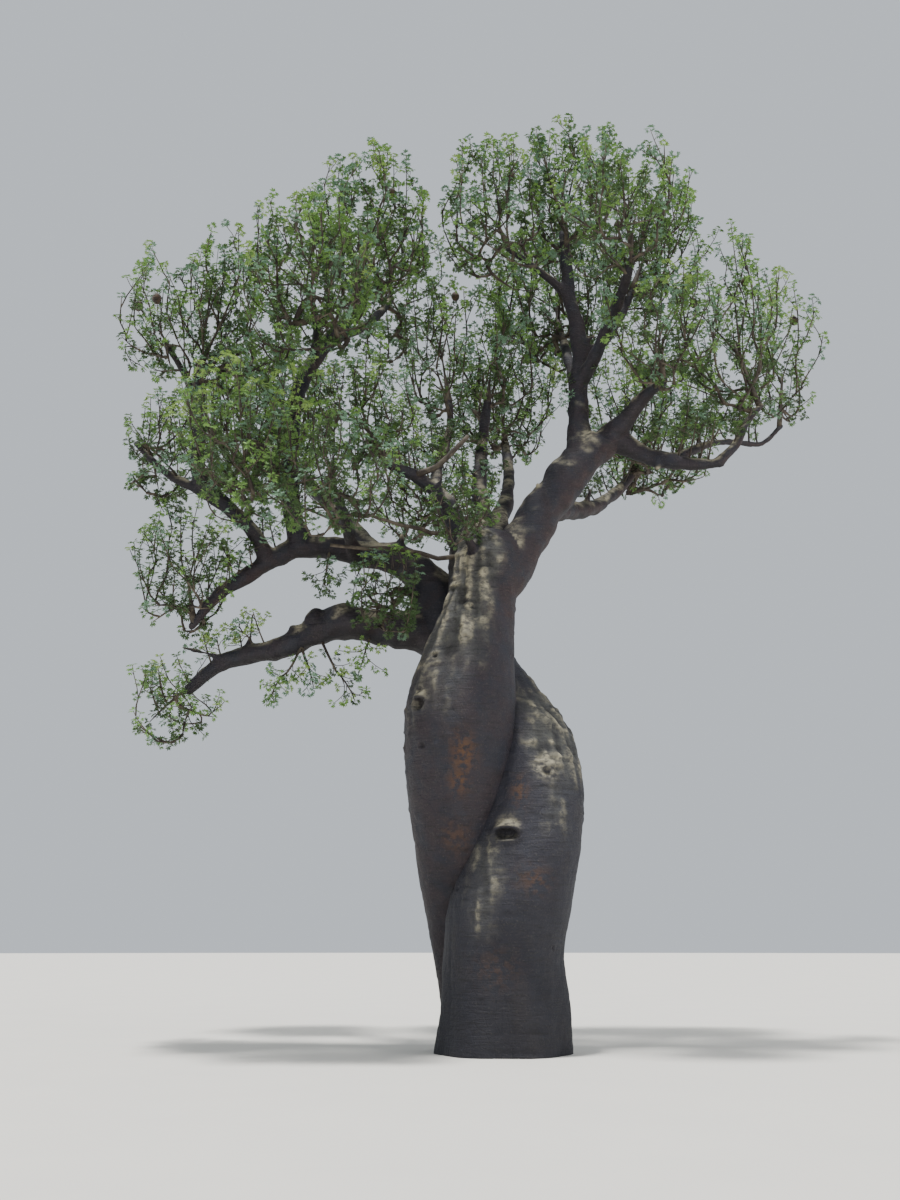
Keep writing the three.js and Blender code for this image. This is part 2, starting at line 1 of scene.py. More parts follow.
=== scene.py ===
"""An old baobab tree: bark, twigs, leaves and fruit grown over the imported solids.

The tables of growth are in millimetres, as in the part's source. Meshes are in metres.
"""

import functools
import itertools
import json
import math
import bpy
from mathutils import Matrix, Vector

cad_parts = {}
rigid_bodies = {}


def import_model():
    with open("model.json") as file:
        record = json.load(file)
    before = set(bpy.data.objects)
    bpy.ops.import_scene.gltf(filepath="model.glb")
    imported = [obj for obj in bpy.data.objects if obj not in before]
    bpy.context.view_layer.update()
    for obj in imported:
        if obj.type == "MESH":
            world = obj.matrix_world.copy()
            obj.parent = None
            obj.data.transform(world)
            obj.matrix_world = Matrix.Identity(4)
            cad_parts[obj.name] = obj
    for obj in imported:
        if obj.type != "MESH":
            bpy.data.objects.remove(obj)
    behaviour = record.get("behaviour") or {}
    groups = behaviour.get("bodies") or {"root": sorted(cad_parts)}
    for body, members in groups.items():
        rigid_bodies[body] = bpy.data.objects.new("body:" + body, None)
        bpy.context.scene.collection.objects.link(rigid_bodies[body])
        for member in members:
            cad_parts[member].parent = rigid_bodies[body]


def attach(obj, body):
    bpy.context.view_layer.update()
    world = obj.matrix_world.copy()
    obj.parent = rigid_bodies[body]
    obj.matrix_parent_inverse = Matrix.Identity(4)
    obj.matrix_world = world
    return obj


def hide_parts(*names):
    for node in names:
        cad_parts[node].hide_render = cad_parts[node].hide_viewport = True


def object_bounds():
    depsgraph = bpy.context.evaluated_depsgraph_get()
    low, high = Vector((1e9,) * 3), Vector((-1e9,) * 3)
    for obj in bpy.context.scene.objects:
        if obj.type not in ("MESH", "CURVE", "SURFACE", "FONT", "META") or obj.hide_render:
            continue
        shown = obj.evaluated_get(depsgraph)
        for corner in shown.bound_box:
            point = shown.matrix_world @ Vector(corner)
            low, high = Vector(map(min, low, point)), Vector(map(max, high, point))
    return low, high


bl_info = {
    "name": "Baobab Tree",
    "version": (1, 0, 0),
    "blender": (4, 5, 0),
    "location": "3D View > Sidebar > Baobab",
    "description": "Grows the bark, twigs, leaves and fruit of an old baobab tree",
    "category": "Add Mesh",
}

import bmesh
import bpy
import numpy as np
from bpy.props import FloatProperty, FloatVectorProperty, IntProperty, PointerProperty
from mathutils import Matrix, Vector

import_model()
CAD_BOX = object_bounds()

MM = 0.001
UP = np.array((0.0, 0.0, 1.0))
GOLDEN_ANGLE = math.pi * (3 - math.sqrt(5))

# Points that are measured against all limbs at once
POINTS_AT_ONCE = 8000

# The share of a line over which the way ahead is taken, and ways that are crossed with it to
# find one that leads out of it
LOOK_AHEAD = 0.04
AID = (0.31, 0.17, 0.94)
STEEP_AID = (1, 0.2, 0)
SPRAY_AID = (0.31, 0.94, 0.17)
STUB_AID = (0.3, 0.5, 0.8)

# Growth, as in the part's source
SPACE_GAP = 25
LIMB_GAP = 45
TRUNK_RINGS = 15
LIMB_STEP = 650
LEAST_STEPS = 3
STEEP = 0.9
FIRST_SEED = 100
TWIG = {"longest": 800, "fork": [0.5], "ahead_pull": 0.7, "up_pull": 0.2}
STEM = {"set_back": 0.1, "share": 0.8, "buds": 14, "first_bud": 0.15, "last_bud": 0.91}
SHELLS = {"shares": [0.54, 0.54, 0.54, 0.26], "jitter": 0.08, "turn": 0.6}

# Pieces and the record's slots listed for some of them, which the script does not use
BARK_PIECES = {"trunk_left": ("bark_left", "bark_pale"), "trunk_right": ("bark_right", "bark_grey")}
TWIG_PIECES = {"trunk_left": "twigs_left", "trunk_right": "twigs_right"}
TINTS = {
    "deep": "leaf_deep", "olive": "leaf_olive", "fresh": "leaf_light", "bright": "leaf_yellow",
    "grey": "leaf_grey",
}

# Camera and lights. A light is its name, share of the strength, softness and turn in degrees.
SENSOR = 36
FOCAL_PIXELS = 1240
PHOTO_HEIGHT = 1200
FLOOR_PATCH = (0.55, 0.53, 0.5)
LIGHTS = (("main_light", 1.15, 6, (9, 0, -34)), ("fill_light", 0.16, 60, (62, 0, 48)))


def table(keys, rows):
    """Rows of values as dictionaries. A row may stop before its last key."""
    return [dict(zip(keys.split(), row)) for row in rows]


# Trunks. A station is a height on the axis, the axis there in plan, and the radius.
TRUNKS = {
    "trunk_left": {
        "dome": {"from": 7560, "height": 520},
        "flutes": {"count": 5, "depth": 0.05, "reach": 1100, "phase": 0.6},
        "stations": table("z x y r", [
            (0, -250, 850, 660), (900, -430, 690, 580), (1900, -620, 450, 550),
            (2800, -620, 80, 700), (4000, -660, -250, 820), (5100, -630, -400, 860),
            (6000, -510, -380, 720), (6900, -300, -300, 560), (7560, -190, -250, 600),
        ]),
    },
    "trunk_right": {
        "dome": {"from": 6700, "height": 420},
        "flutes": {"count": 6, "depth": 0.04, "reach": 900, "phase": 0.2},
        "stations": table("z x y r", [
            (0, 0, 0, 985), (600, 20, -60, 955), (1300, -15, -110, 910), (2200, 120, -190, 925),
            (3000, 310, -150, 900), (3960, 400, 50, 900), (4860, 290, 300, 840),
            (5530, -50, 480, 740), (6100, -370, 540, 640), (6700, -720, 560, 600),
        ]),
    },
}

# Boughs: where each leaves its parent, and its headings, rises and radii along its length
BOUGHS = table("name parent at length heading rise radius", [
    ("right", "trunk_left", 7000, 3650, (10, 8, 10), (46, 60, 52, 42), (400, 370, 350, 325, 215)),
    ("left_upper", "trunk_right", 6620, 3400,
     (-172, -180, -168), (34, 68, 28, 6, 16, -22), (500, 400, 290, 220, 180, 160)),
    ("left_lower", "trunk_right", 6350, 5050,
     (-176, -190, -192), (16, 16, 4, 0, -24, -12, -18, -58), (460, 350, 300, 285, 230, 170, 140, 100)),
    ("rear", "trunk_right", 6500, 4900, (86, 96, 114), (48, 48, 50), (380, 240, 165, 100)),
    ("right_leader", "right", 0.8, 4450,
     (72, 190, 210), (78, 84, 102, 74, 84, 92), (240, 185, 165, 140, 110, 88)),
    ("right_arm", "right", 1, 1950, (-6, -12, -12), (-36, -28, -10, -2), (200, 140, 115, 64)),
    ("right_rise", "right", 0.97, 1450, (-42, -54), (32, 34, 10), (190, 130, 92)),
    ("right_back", "right", 0.5, 4250, (60, 58, 54), (12, 26, 44), (210, 160, 120, 90)),
    ("centre", "trunk_left", 7300, 3900, (110, 84, 68), (78, 70, 66, 72), (260, 150, 110, 78)),
    ("centre_left", "trunk_left", 7150, 2800,
     (-180, -174, -130), (62, 74, 34, -4), (300, 200, 125, 80)),
    ("centre_back", "trunk_left", 7250, 4800, (78, 74, 98), (46, 50, 52), (290, 190, 120, 80)),
    ("left_drop", "left_upper", 0.98, 2150,
     (-166, -168, -170), (-50, -22, -52, -58), (155, 150, 115, 62)),
    ("left_rise", "left_upper", 0.93, 5150,
     (-170, -10, 20), (72, 74, 88, 66, 52, 88), (175, 150, 140, 125, 90)),
    ("left_back", "left_upper", 0.5, 4500, (124, 128, 130), (36, 42, 42), (180, 140, 100)),
    ("left_front", "left_upper", 0.66, 2100, (-96, -90), (14, 0), (130, 105, 80)),
    ("low_spur", "left_upper", 0.2, 1000, (-126, -126), (-2, -8), (95, 60)),
    ("left_upright", "left_drop", 0.2, 3850,
     (-136, -162, -182, -184), (64, 38, 44, 94, 80, 94), (135, 130, 115, 85)),
    ("leader_back", "right_leader", 0.3, 3350, (84, 100), (14, 58, 50), (130, 105, 78)),
    ("leader_front", "right_leader", 0.34, 2500, (-60, -75), (30, 46), (125, 100, 72)),
    ("top_right", "right_leader", 0.45, 2050, (20, 32), (36, 58, 70), (105, 88, 62)),
    ("top_left", "right_leader", 0.7, 1450, (-160, -148), (46, 12), (80, 58)),
    ("right_upright", "right_arm", 0.96, 1450, (-12, 24, 14), (38, 60, 46), (85, 72, 56)),
    ("right_outer", "right_arm", 0.55, 3000, (34, 34, 14), (28, 28, 2, 60), (85, 72, 60, 50)),
    ("centre_fork", "centre_left", 0.62, 2600, (100, 62, 112), (68, 46, 84), (105, 88, 66)),
    ("crown_spur", "trunk_left", 7420, 950, (-112, -112), (12, 24), (100, 55)),
    ("left_rise_front", "left_rise", 0.66, 1600, (-76, -96), (28, -6), (100, 82, 60)),
    ("left_rise_back", "left_rise", 0.72, 3400, (60, 72), (38, 38, 50), (105, 85, 66)),
    ("left_mid_front", "left_rise", 0.24, 1450, (-90, -112), (-14, 16), (95, 78, 58)),
    ("left_fork", "left_upright", 0.72, 1400, (-138, -144), (78, 46), (85, 60)),
    ("left_far", "left_upright", 0.26, 2200, (-174, -176, -212), (28, 32, 52), (100, 80, 55)),
])

# Foliage masses: the bough that carries each, the middle and half sizes of the ellipsoid that it
# keeps to, the number of its twigs and of its fruits
MASSES = table("bough middle half twigs fruit", [
    ("right_leader", (1320, 0, 14500), (1300, 1440, 1400), 7, 2),
    ("top_left", (-50, -600, 13700), (1060, 1500, 1620), 7, 1),
    ("top_right", (2860, 700, 13950), (1140, 1440, 1550), 7, 2),
    ("leader_back", (1320, 3000, 14090), (1560, 1680, 1740), 7),
    ("leader_front", (1950, -2150, 13000), (1150, 1300, 1200), 6),
    ("right_upright", (4040, 0, 11850), (1100, 1560, 1800), 7, 2),
    ("right_outer", (5330, 1300, 11900), (770, 1260, 1600), 6, 1),
    ("right_rise", (2640, -1400, 11150), (1020, 1320, 1200), 6, 1),
    ("right_back", (3150, 3200, 11350), (1440, 1680, 1560), 7),
    ("centre", (-30, 1150, 11950), (910, 1140, 1560), 6),
    ("centre_fork", (-1000, 900, 12150), (910, 1320, 1800), 6, 1),
    ("centre_back", (190, 3200, 11990), (1320, 1500, 1560), 6),
    ("centre_left", (-2310, -1200, 9800), (1100, 1250, 1250), 7),
    ("left_rise", (-2240, 150, 13850), (1260, 1560, 1650), 7, 1),
    ("left_rise_front", (-3100, -1900, 11700), (1250, 1500, 1600), 7),
    ("left_rise_back", (-2050, 2800, 14300), (1120, 1560, 1700), 6),
    ("left_upright", (-4620, -300, 12050), (1150, 1500, 1600), 7, 1),
    ("left_fork", (-5650, -800, 11450), (720, 1320, 1450), 6, 2),
    ("left_far", (-5550, 0, 9600), (960, 1300, 1250), 7),
    ("left_drop", (-5150, 0, 7600), (950, 1150, 1450), 5),
    ("left_lower", (-5560, 1300, 5560), (940, 1200, 890), 5),
    ("left_front", (-2650, -2200, 8400), (1200, 1350, 1100), 6),
    ("left_mid_front", (-4000, -1700, 9100), (1250, 1450, 1400), 7),
    ("left_back", (-4590, 3500, 11740), (1560, 1800, 1820), 7),
    ("rear", (-1210, 4150, 10680), (1500, 1620, 1580), 7),
    ("low_spur", (-1750, -700, 6850), (670, 740, 770), 4),
    ("crown_spur", (-560, -1250, 8060), (580, 620, 580), 4),
])

# Branch knobs on the trunks. The squash is the height as a share of the width.
KNOBS = table("trunk z angle radius squash proud", [
    ("trunk_left", 5195, 222, 125, 0.62, 88), ("trunk_left", 5020, 187, 60, 1.2, 36),
    ("trunk_left", 4480, 187, 55, 1.2, 30), ("trunk_right", 4170, 287, 150, 0.8, 40),
    ("trunk_right", 3265, 250, 130, 0.5, 62),
])

# An oval scar with a rim over its top. Its paleness is that of the painted highlight on the rim's upper
# side.
SCAR = {
    "trunk": "trunk_right", "z": 3150, "angle": 250, "radius": 120, "rim": 46, "stretch": (1.6, 0.75),
    "turns": range(-10, 191, 20), "paleness": 0.5,
}

# Pits in the trunks: height, angle round the axis, size and depth
PITS = {
    "trunk_left": [
        (5070, 222, 84, 120), (6245, 255, 44, 36), (5815, 230, 46, 38), (5290, 219, 40, 34),
        (4440, 229, 46, 30), (6600, 262, 36, 26), (6420, 238, 36, 26), (6080, 264, 34, 24),
        (5950, 246, 34, 24), (4900, 120, 44, 34), (5700, 60, 34, 28), (3900, 100, 40, 26),
    ],
    "trunk_right": [
        (3120, 244, 78, 80), (3130, 250, 88, 95), (3125, 257, 76, 80), (4060, 287, 60, 34),
        (2350, 205, 38, 24), (4600, 20, 44, 34), (3500, 60, 40, 30), (2100, 95, 46, 36),
        (1500, 320, 36, 20),
    ],
}

# Small nodules of the trunks' bark, and how far down from the top they come, as a share
WARTS = {"count": 110, "size": 42, "height": 15, "down_to": 0.62, "seed": 977}

# Swollen knots: bough, share of its length, way out, radius and how far it stands proud
BURLS = [
    ("left_lower", 0.46, (0.1, -0.3, 1), 170, 60), ("left_lower", 0.52, (0, -0.2, 1), 210, 105),
    ("left_lower", 0.58, (-0.2, -0.3, 1), 160, 60), ("left_lower", 0.67, (0, -0.5, -1), 130, 30),
    ("left_upper", 0.6, (0.2, -0.3, 1), 140, 50), ("left_upper", 0.86, (0, -0.8, 0.4), 120, 40),
    ("right", 0.99, (0.1, -0.4, -1), 190, 40), ("right", 0.72, (-0.7, -0.5, 0.4), 130, 24),
    ("right_arm", 0.45, (0, -0.3, -1), 105, 30), ("centre_left", 0.3, (-0.6, -0.6, 0.3), 130, 36),
    ("rear", 0.35, (0.4, 0.5, 0.6), 160, 50), ("right_leader", 0.3, (-0.6, -0.7, 0), 110, 30),
]

# Broken stubs and dead limbs: bough, share of its length, way, length past the bark and radius
STUBS = [
    ("right_leader", 0.44, (1, -0.3, 0.35), 230, 42), ("right_leader", 0.5, (0.8, -0.5, 0.6), 180, 38),
    ("centre", 0.5, (-0.6, -0.6, 0.5), 200, 38), ("centre_left", 0.62, (0.3, -0.6, 0.7), 190, 38),
    ("left_lower", 0.76, (0.1, -0.1, 1), 560, 40), ("left_lower", 0.82, (-1, -0.3, 0.2), 700, 42),
    ("right_arm", 0.42, (0.2, -0.3, -1), 150, 42), ("right", 0.9, (-0.3, -0.7, 0.7), 90, 62),
    ("right_rise", 0.45, (0.1, -0.6, 0.8), 110, 48), ("right_rise", 0.72, (0.3, -0.5, 0.8), 90, 42),
    ("right_leader", 0.36, (0.5, -0.8, 0.3), 90, 52), ("centre", 0.35, (0.3, -0.9, 0.2), 80, 44),
    ("right", 0.55, (-0.6, -0.5, 0.6), 60, 55), ("left_upper", 0.45, (0.2, -0.5, 1), 260, 44),
    ("rear", 0.5, (0.8, 0.3, 0.3), 260, 44), ("left_back", 0.4, (0.2, 0.6, -0.6), 240, 38),
    ("right_back", 0.4, (0.3, -0.3, 1), 240, 38),
]

# Rings and sides of the bark before it is remeshed, in millimetres and degrees
UNDERGROUND = -240
RING_STEP = {"trunk": 70, "bough": 90}
LEAST_BOUGH_RINGS = 8
DOME_TURNS = (25, 45, 62, 76)
SIDES = {"trunk": 72, "thick_bough": 20, "bough": 12, "stub": 10, "scar": 8}
THICK_BOUGH = 200
WANDER_SIZE = 620
COLLAR = {"inside": 0.8, "reach": 1.1}
BALL_FINENESS = {"burl": 2, "knob": 3}
AXIS_STEP = 60.0

# How the skin is smoothed before its relief, and the height in metres under which a face is flat
SMOOTHING = {"rounds": 3, "factor": 0.5}
GROUND = 1e-6

# Rings past the end of a bough and along a stub: how far along and how thick, as shares
TIP_RINGS = ((0.45, 0.8), (0.7, 0.45))
STUB_RINGS = ((0, 1.5), (0.5, 1.25), (0.8, 1), (1, 0.85))

# Noise in the bark: the size of its grains in metres and its seed
LAYERS = {
    "broad": ((0.8, 0.8, 1.1), 11), "folds": ((0.3, 0.3, 0.5), 12),
    "rings": ((0.75, 0.75, 0.085), 13), "fine_rings": ((0.4, 0.4, 0.05), 14),
    "ringed": (0.9, 15), "seams": ((0.09, 0.09, 1.3), 16), "lumps": (0.42, 17),
    "small_lumps": (0.17, 18), "rough": (0.085, 19), "sway": (0.55, 31),
    "cross_folds": ((0.26, 0.26, 0.07), 32), "sunlit_height": ((0.35, 0.35, 0.9), 33),
    "sunlit_turn": (0.5, 34), "ropes": ((0.1, 0.1, 0.62), 35), "tops": ((0.3, 0.3, 0.2), 41),
    "highlight_flecks": (0.075, 61),
}

# Heights of the relief: in metres, for lumps in shares of the radius, and for rings and seams in
# shares of the wrinkle setting. What lies under "from" in their noise stays flat.
HEIGHTS = {
    "broad": 0.024, "folds": 0.012, "rough": 0.006, "lumps": 0.15, "small_lumps": 0.13,
    "seams": 0.7, "limb_rings": 0.5,
}
RINGS = {"fine": 0.6, "from": 0.05, "usual": 0.6, "patchy": 0.5}
SEAMS_FROM = 0.2
LUMPED = {"thickest": 0.35, "fade": 0.7, "fade_from": 0.28, "fade_to": 0.4}
ROPES = {"sway": 0.1, "upright": 1.2, "across": 0.6}
PIT_STRETCH = (1, 1, 1.25)
PIT_RIM = {"height": 0.25, "at": 1.7, "width": 0.55}

# Pale patches of painted sunlight on the trunks: heights in metres, middle and half angle, strength
SUNLIT_AREAS = [
    ("trunk_left", 5.7, 8.3, 243, 46, 1.0),
    ("trunk_left", 5.0, 5.8, 238, 30, 0.5),
    ("trunk_right", 4.2, 5.6, 312, 34, 1.0),
    ("trunk_right", 3.3, 4.2, 300, 9, 0.7),
    ("trunk_right", 2.0, 3.0, 240, 17, 0.7),
    ("trunk_right", 4.4, 6.4, 80, 50, 0.8),
]
SUNLIT_EDGE = {"height": 0.35, "turn": 14}

# Rust stains of the trunks: height, angle, width, tallness and strength
RUST_SPOTS = [
    ("trunk_left", 4270, 274, 170, 330, 1.0), ("trunk_left", 3900, 270, 150, 200, 0.9),
    ("trunk_left", 3100, 262, 220, 300, 0.45), ("trunk_right", 3780, 260, 120, 260, 0.7),
    ("trunk_right", 2460, 286, 240, 200, 0.55), ("trunk_right", 1200, 262, 300, 260, 0.4),
    ("trunk_right", 3000, 110, 260, 300, 0.7), ("trunk_left", 4600, 40, 200, 260, 0.6),
]

# Shares of pale, dark and brown in the bark. The pale on the upper side of a knob and on the tops
# of the boughs is a painted highlight, and the dark is painted shade. A lip is the upper side of a
# knob or the end of a stub, and stands this far out in millimetres. A pit as deep as this is fully
# dark, in painted shade.
LIP_PALENESS = 0.95
LIP_OUT = 40
LIP_REACH = {"knob": 1.5, "stub": 1.7}
TOP_HIGHLIGHT = 0.8
PAINTED_SHADE = {"between_ropes": 0.55, "below": 0.75, "foot": 0.42}
PIT_SHADE = {"depth": 45, "reach": 0.85}
BROWN_SHARE = {"trunk_left": 0.5, "trunk_right": 0.1, "boughs": 0.45, "right_sides": 0.5}

# The height in metres above which the right sides of the boughs are brown
BROWN_FROM = 6.5

# Finer growth, which this script adds to the source's. Fine shoots end in this shell of a mass,
# none is longer than this, and none steeper than HANG hangs further than its longest.
FINE_SHELL = (0.12, 0.93)
OUTWARD = 0.75
LONGEST_SHOOT = 1500
HANG = {"steep": -0.45, "longest": 380}

# How a fine shoot picks its bud, sets out from it and is divided: longest reach and steps
FINE_PULL = {"ahead": 0.5, "up": 0.85, "near": 120, "near_cost": 400}
FINE_LEAD = {"way": 0.75, "bud": 0.55, "up": 0.12}
FINE_STEPS = ((280, 2), (650, 3), (math.inf, 4))
STEM_STEPS, TWIG_STEPS = 6, 5
TWIG_LEAD = 0.6

# How far shoots come up at their ends, and from where on one counts as steep
UPTURN = {"most": 0.55, "fall": 1.8, "least": -0.2}
STEEP_SHOOT = 0.8

# Buds: the share of a shoot's length where they start and stop, how much further apart the fine
# shoots have them, and those on boughs inside a mass
FIRST_BUD = {"stem": 0.22, "twig": 0.12, "fine": 0.25}
LAST_BUD = 0.96
FINE_BUD_STEP = 1.4
LIMB_BUD = {"step": 220, "ahead": 0.4, "up": 0.5, "out": 0.7}

# Tufts: where they start along a shoot, the ways and lengths of their spurs, and their share of
# the skin
TUFT = {
    "from": 0.3, "end_up": 0.3, "ahead": 0.5, "up": 0.35, "least": 45, "more": 75, "reach": 0.97,
}

# How many more fine shoots than usual a mass has, how far apart its tufts stand, and how shaded
FULLNESS = {
    "left_rise_front": 1.6, "left_mid_front": 1.4, "centre_left": 1.3, "left_far": 1.2,
    "left_front": 1.5, "left_drop": 1.0, "left_back": 1.2, "left_upright": 1.2, "left_rise": 1.2,
    "right_outer": 0.6, "right_upright": 0.7, "centre_fork": 0.6, "left_rise_back": 0.7,
    "right_back": 1.1, "crown_spur": 4.5, "low_spur": 4.5, "leader_back": 1.2, "centre": 1.4,
    "right_leader": 1.2, "top_right": 1.1,
}
SPARSE = {"low_spur": 2.2, "crown_spur": 1.6}
SHADED = {"low_spur": 0.3, "crown_spur": 0.25, "left_front": 0.1, "left_drop": 0.1}

# The uneven skin of a mass: its bays and teeth, and how it closes the gaps to its neighbours
SKIN = {
    "bays": 0.36, "bay_size": 0.55, "teeth": 0.24, "tooth_size": 0.2, "furthest": 1.08,
    "closing": 0.2, "reach": 1500,
}

# Levels of shoots. Stems and bare limbs have no tufts.
STEM_LEVEL, TWIG_LEVEL, FINE_LEVEL, BARE = range(4)

# Thin limbs outside the masses: the mass that each is grown with, where it starts and ends, the
# way it sets out, how far it comes up, the load that makes it thick, and its leafy shoots
SIDE_LIMBS = table("mass from at to lead lift load shoots", [
    ("crown_spur", "centre_left", 0.8, (-500, -700, 9560), (1, -0.4, 0.1), 0.3, 260, 0),
    ("crown_spur", "centre_left", 0.35, (-2140, -700, 8210), (-1, -0.35, -0.45), 0.1, 110, 0),
    ("crown_spur", "trunk_left", 1.0, (-2720, -600, 7720), (-1, -0.5, -0.1), 0.0, 130, 0),
    ("left_front", "left_upper", 0.78, (-2860, -100, 7150), (-0.1, -0.8, -0.5), -0.3, 8, 9),
    ("left_front", "left_upper", 0.62, (-2350, 0, 7300), (0.1, -0.8, -0.5), -0.3, 6, 5),
    ("left_lower", "left_lower", 0.57, (-3050, 600, 5640), (0.1, -0.4, -1), -0.4, 40, 6),
    ("left_lower", "left_lower", 0.55, (-3800, 600, 5400), (0, -0.3, -1), -0.15, 20, 9),
    ("left_lower", "left_lower", 0.5, (-2350, 450, 5380), (0.1, -0.3, -1), -0.15, 20, 9),
    ("left_lower", "left_lower", 0.32, (-2250, 300, 5950), (-0.1, -0.6, -1), -0.2, 8, 5),
    ("left_lower", "left_lower", 0.74, (-4350, 700, 6750), (0, -0.3, 1), 0.6, 8, 4),
])
SIDE_LIMB_STEPS = 9
SWAY = {"height": 85, "size": 260, "seeds": ((2, 51), (1, 52))}
SPRAY = {
    "from": 0.45, "over": 0.5, "ahead": 0.5, "least": 220, "more": 260, "lift": 0.3, "steps": 3,
}

# Leafy shoots on boughs: mass, bough, first and last share of its length, count and reach
FRINGES = [
    ("right_outer", "right_arm", 0.35, 0.95, 7, 780), ("right_outer", "right_outer", 0.1, 0.85, 9, 820),
    ("right_upright", "right_upright", 0.2, 0.8, 4, 480), ("right_back", "right_back", 0.5, 0.9, 4, 480),
    ("right_rise", "right_rise", 0.35, 0.9, 5, 560), ("centre", "centre", 0.3, 0.7, 4, 420),
    ("centre_fork", "centre_fork", 0.15, 0.6, 4, 420), ("centre_left", "centre_left", 0.65, 0.95, 4, 460),
    ("left_drop", "left_drop", 0.1, 0.6, 5, 460), ("left_rise", "left_rise", 0.05, 0.4, 6, 480),
    ("left_far", "left_upright", 0.05, 0.4, 5, 480), ("left_lower", "left_lower", 0.66, 0.96, 4, 380),
    ("leader_back", "right_leader", 0.12, 0.36, 3, 320), ("rear", "rear", 0.45, 0.8, 5, 520),
    ("left_back", "left_back", 0.4, 0.8, 5, 520),
]
FRINGE = {
    "uneven": 0.6, "aside": 1.3, "ahead": 0.25, "spread": 1.2, "lift": 0.4, "steps": 4, "shoots": 3,
    "load": 4, "least": 0.55, "more": 0.8,
}

# Twigs: the power by which their radius falls, the tips of bare limbs and stems as shares of
# their thickest radius, the foot of a stem as a share of its bough's, and the ends of a spur as
# shares of a twig's tip
TAPER = 0.8
BARE_TIP = 0.6
STEM_TIP = 0.45
STEM_FOOT = 0.96
SPUR_SHARES = (0.9, 0.6)

# Sides of stems and bare limbs, and of twigs that are thicker than a radius in metres
THICK_SIDES = 8
TWIG_SIDES = ((0.022, 5), (0.012, 4), (-1, 3))

# A palmate leaf: the turn of each leaflet in degrees and its share of the longest, and the
# corners of a leaflet along it, across it and up, as shares of its size
LEAFLETS = ((-82, 0.72), (-42, 0.92), (0, 1.0), (42, 0.92), (82, 0.72))
BLADE = ((0.55, -0.5, 0.06), (1.0, 0.0, -0.12), (0.55, 0.5, 0.06))
SMALL_LEAFLET = 0.8
LEAF_SEED = 7
LEAF_LEAN = (35, 88)
LEAF_SIZE = (0.75, 1.15)
LEAF_TURN_SPREAD = 0.25
LEAF_FACE_SPREAD = 0.3
HALF_STALK = 0.0015

# Tints by the light that a shoot gets, and the share of lit shoots that are grey-green
TINT_LIMITS = (("deep", 0.5), ("olive", 0.72), ("fresh", 0.95), ("bright", math.inf))
LIGHT = {"outward": 0.5, "upward": 0.25, "chance": 0.55}
GREY_SHARE = 0.27

# A fruit in shares of its radius, apart from the size of its lumps in metres
FRUIT = {"set_off": 0.6, "stretch": 1.25, "lumps": 0.07, "lump_size": 0.055, "neck_at": 1.3}
NECK = {"radius1": 0.22, "radius2": 0.1, "depth": 0.5}


# Growth

def seeded(seed):
    """A repeatable stream of numbers from 0 to 1, the same as the source's."""
    state = seed

    def draw():
        nonlocal state
        state = (state * 1664525 + 1013904223) % 2**32
        return state / 2**32

    return draw


def along(values, share):
    """The value at a share of evenly spaced values, on straight lines between them."""
    place = min(max(share, 0), 1) * (len(values) - 1)
    step = min(int(place), len(values) - 2)
    return values[step] + (values[step + 1] - values[step]) * (place - step)


def unit(ways):
    return ways / np.linalg.norm(ways, axis=-1, keepdims=True)


def station_value(stations, key, z):
    """The value of one key at a height, on a smooth curve through a trunk's stations."""
    i = 0
    while i < len(stations) - 2 and z > stations[i + 1]["z"]:
        i += 1
    a, b = stations[i], stations[i + 1]

    def slope(p, q):
        return (q[key] - p[key]) / (q["z"] - p["z"])

    before = slope(stations[i - 1], b) if i > 0 else slope(a, b)
    after = slope(a, stations[i + 2]) if i < len(stations) - 2 else slope(a, b)
    span = b["z"] - a["z"]
    t = min((z - a["z"]) / span, 1)
    return (
        (2 * t**3 - 3 * t**2 + 1) * a[key]
        + (t**3 - 2 * t**2 + t) * span * before
        + (3 * t**2 - 2 * t**3) * b[key]
        + (t**3 - t**2) * span * after
    )


def trunk_axis(trunk, z):
    stations = TRUNKS[trunk]["stations"]
    return np.array((station_value(stations, "x", z), station_value(stations, "y", z), z))


def on_trunk(trunk, z, angle):
    """The point of a trunk's bark at a height and an angle round its axis, and the way out of it."""
    turn = math.radians(angle)
    out = np.array((math.cos(turn), math.sin(turn), 0.0))
    return trunk_axis(trunk, z) + out * station_value(TRUNKS[trunk]["stations"], "r", z), out


def curve_point(line, share):
    """A point at a share of a smooth curve through the points of a line."""
    place = share * (len(line) - 1)
    i = min(int(place), len(line) - 2)
    weight = place - i
    b, c = line[i], line[i + 1]
    a = line[i - 1] if i > 0 else 2 * line[0] - line[1]
    d = line[i + 2] if i + 2 < len(line) else 2 * line[-1] - line[-2]
    spans = [np.linalg.norm(q - p) ** 0.5 for p, q in ((a, b), (b, c), (c, d))]
    first = (b - a) / spans[0] - (c - a) / (spans[0] + spans[1]) + (c - b) / spans[1]
    last = (c - b) / spans[1] - (d - b) / (spans[1] + spans[2]) + (d - c) / spans[2]
    first = first * spans[1]
    last = last * spans[1]
    return (
        b + first * weight + (3 * (c - b) - 2 * first - last) * weight**2
        + (2 * (b - c) + first + last) * weight**3
    )


def curve_foot(line, share):
    """The point at a share of a curve and the way ahead there."""
    point = curve_point(line, share)
    return point, unit(curve_point(line, min(share + LOOK_AHEAD, 1)) - point)


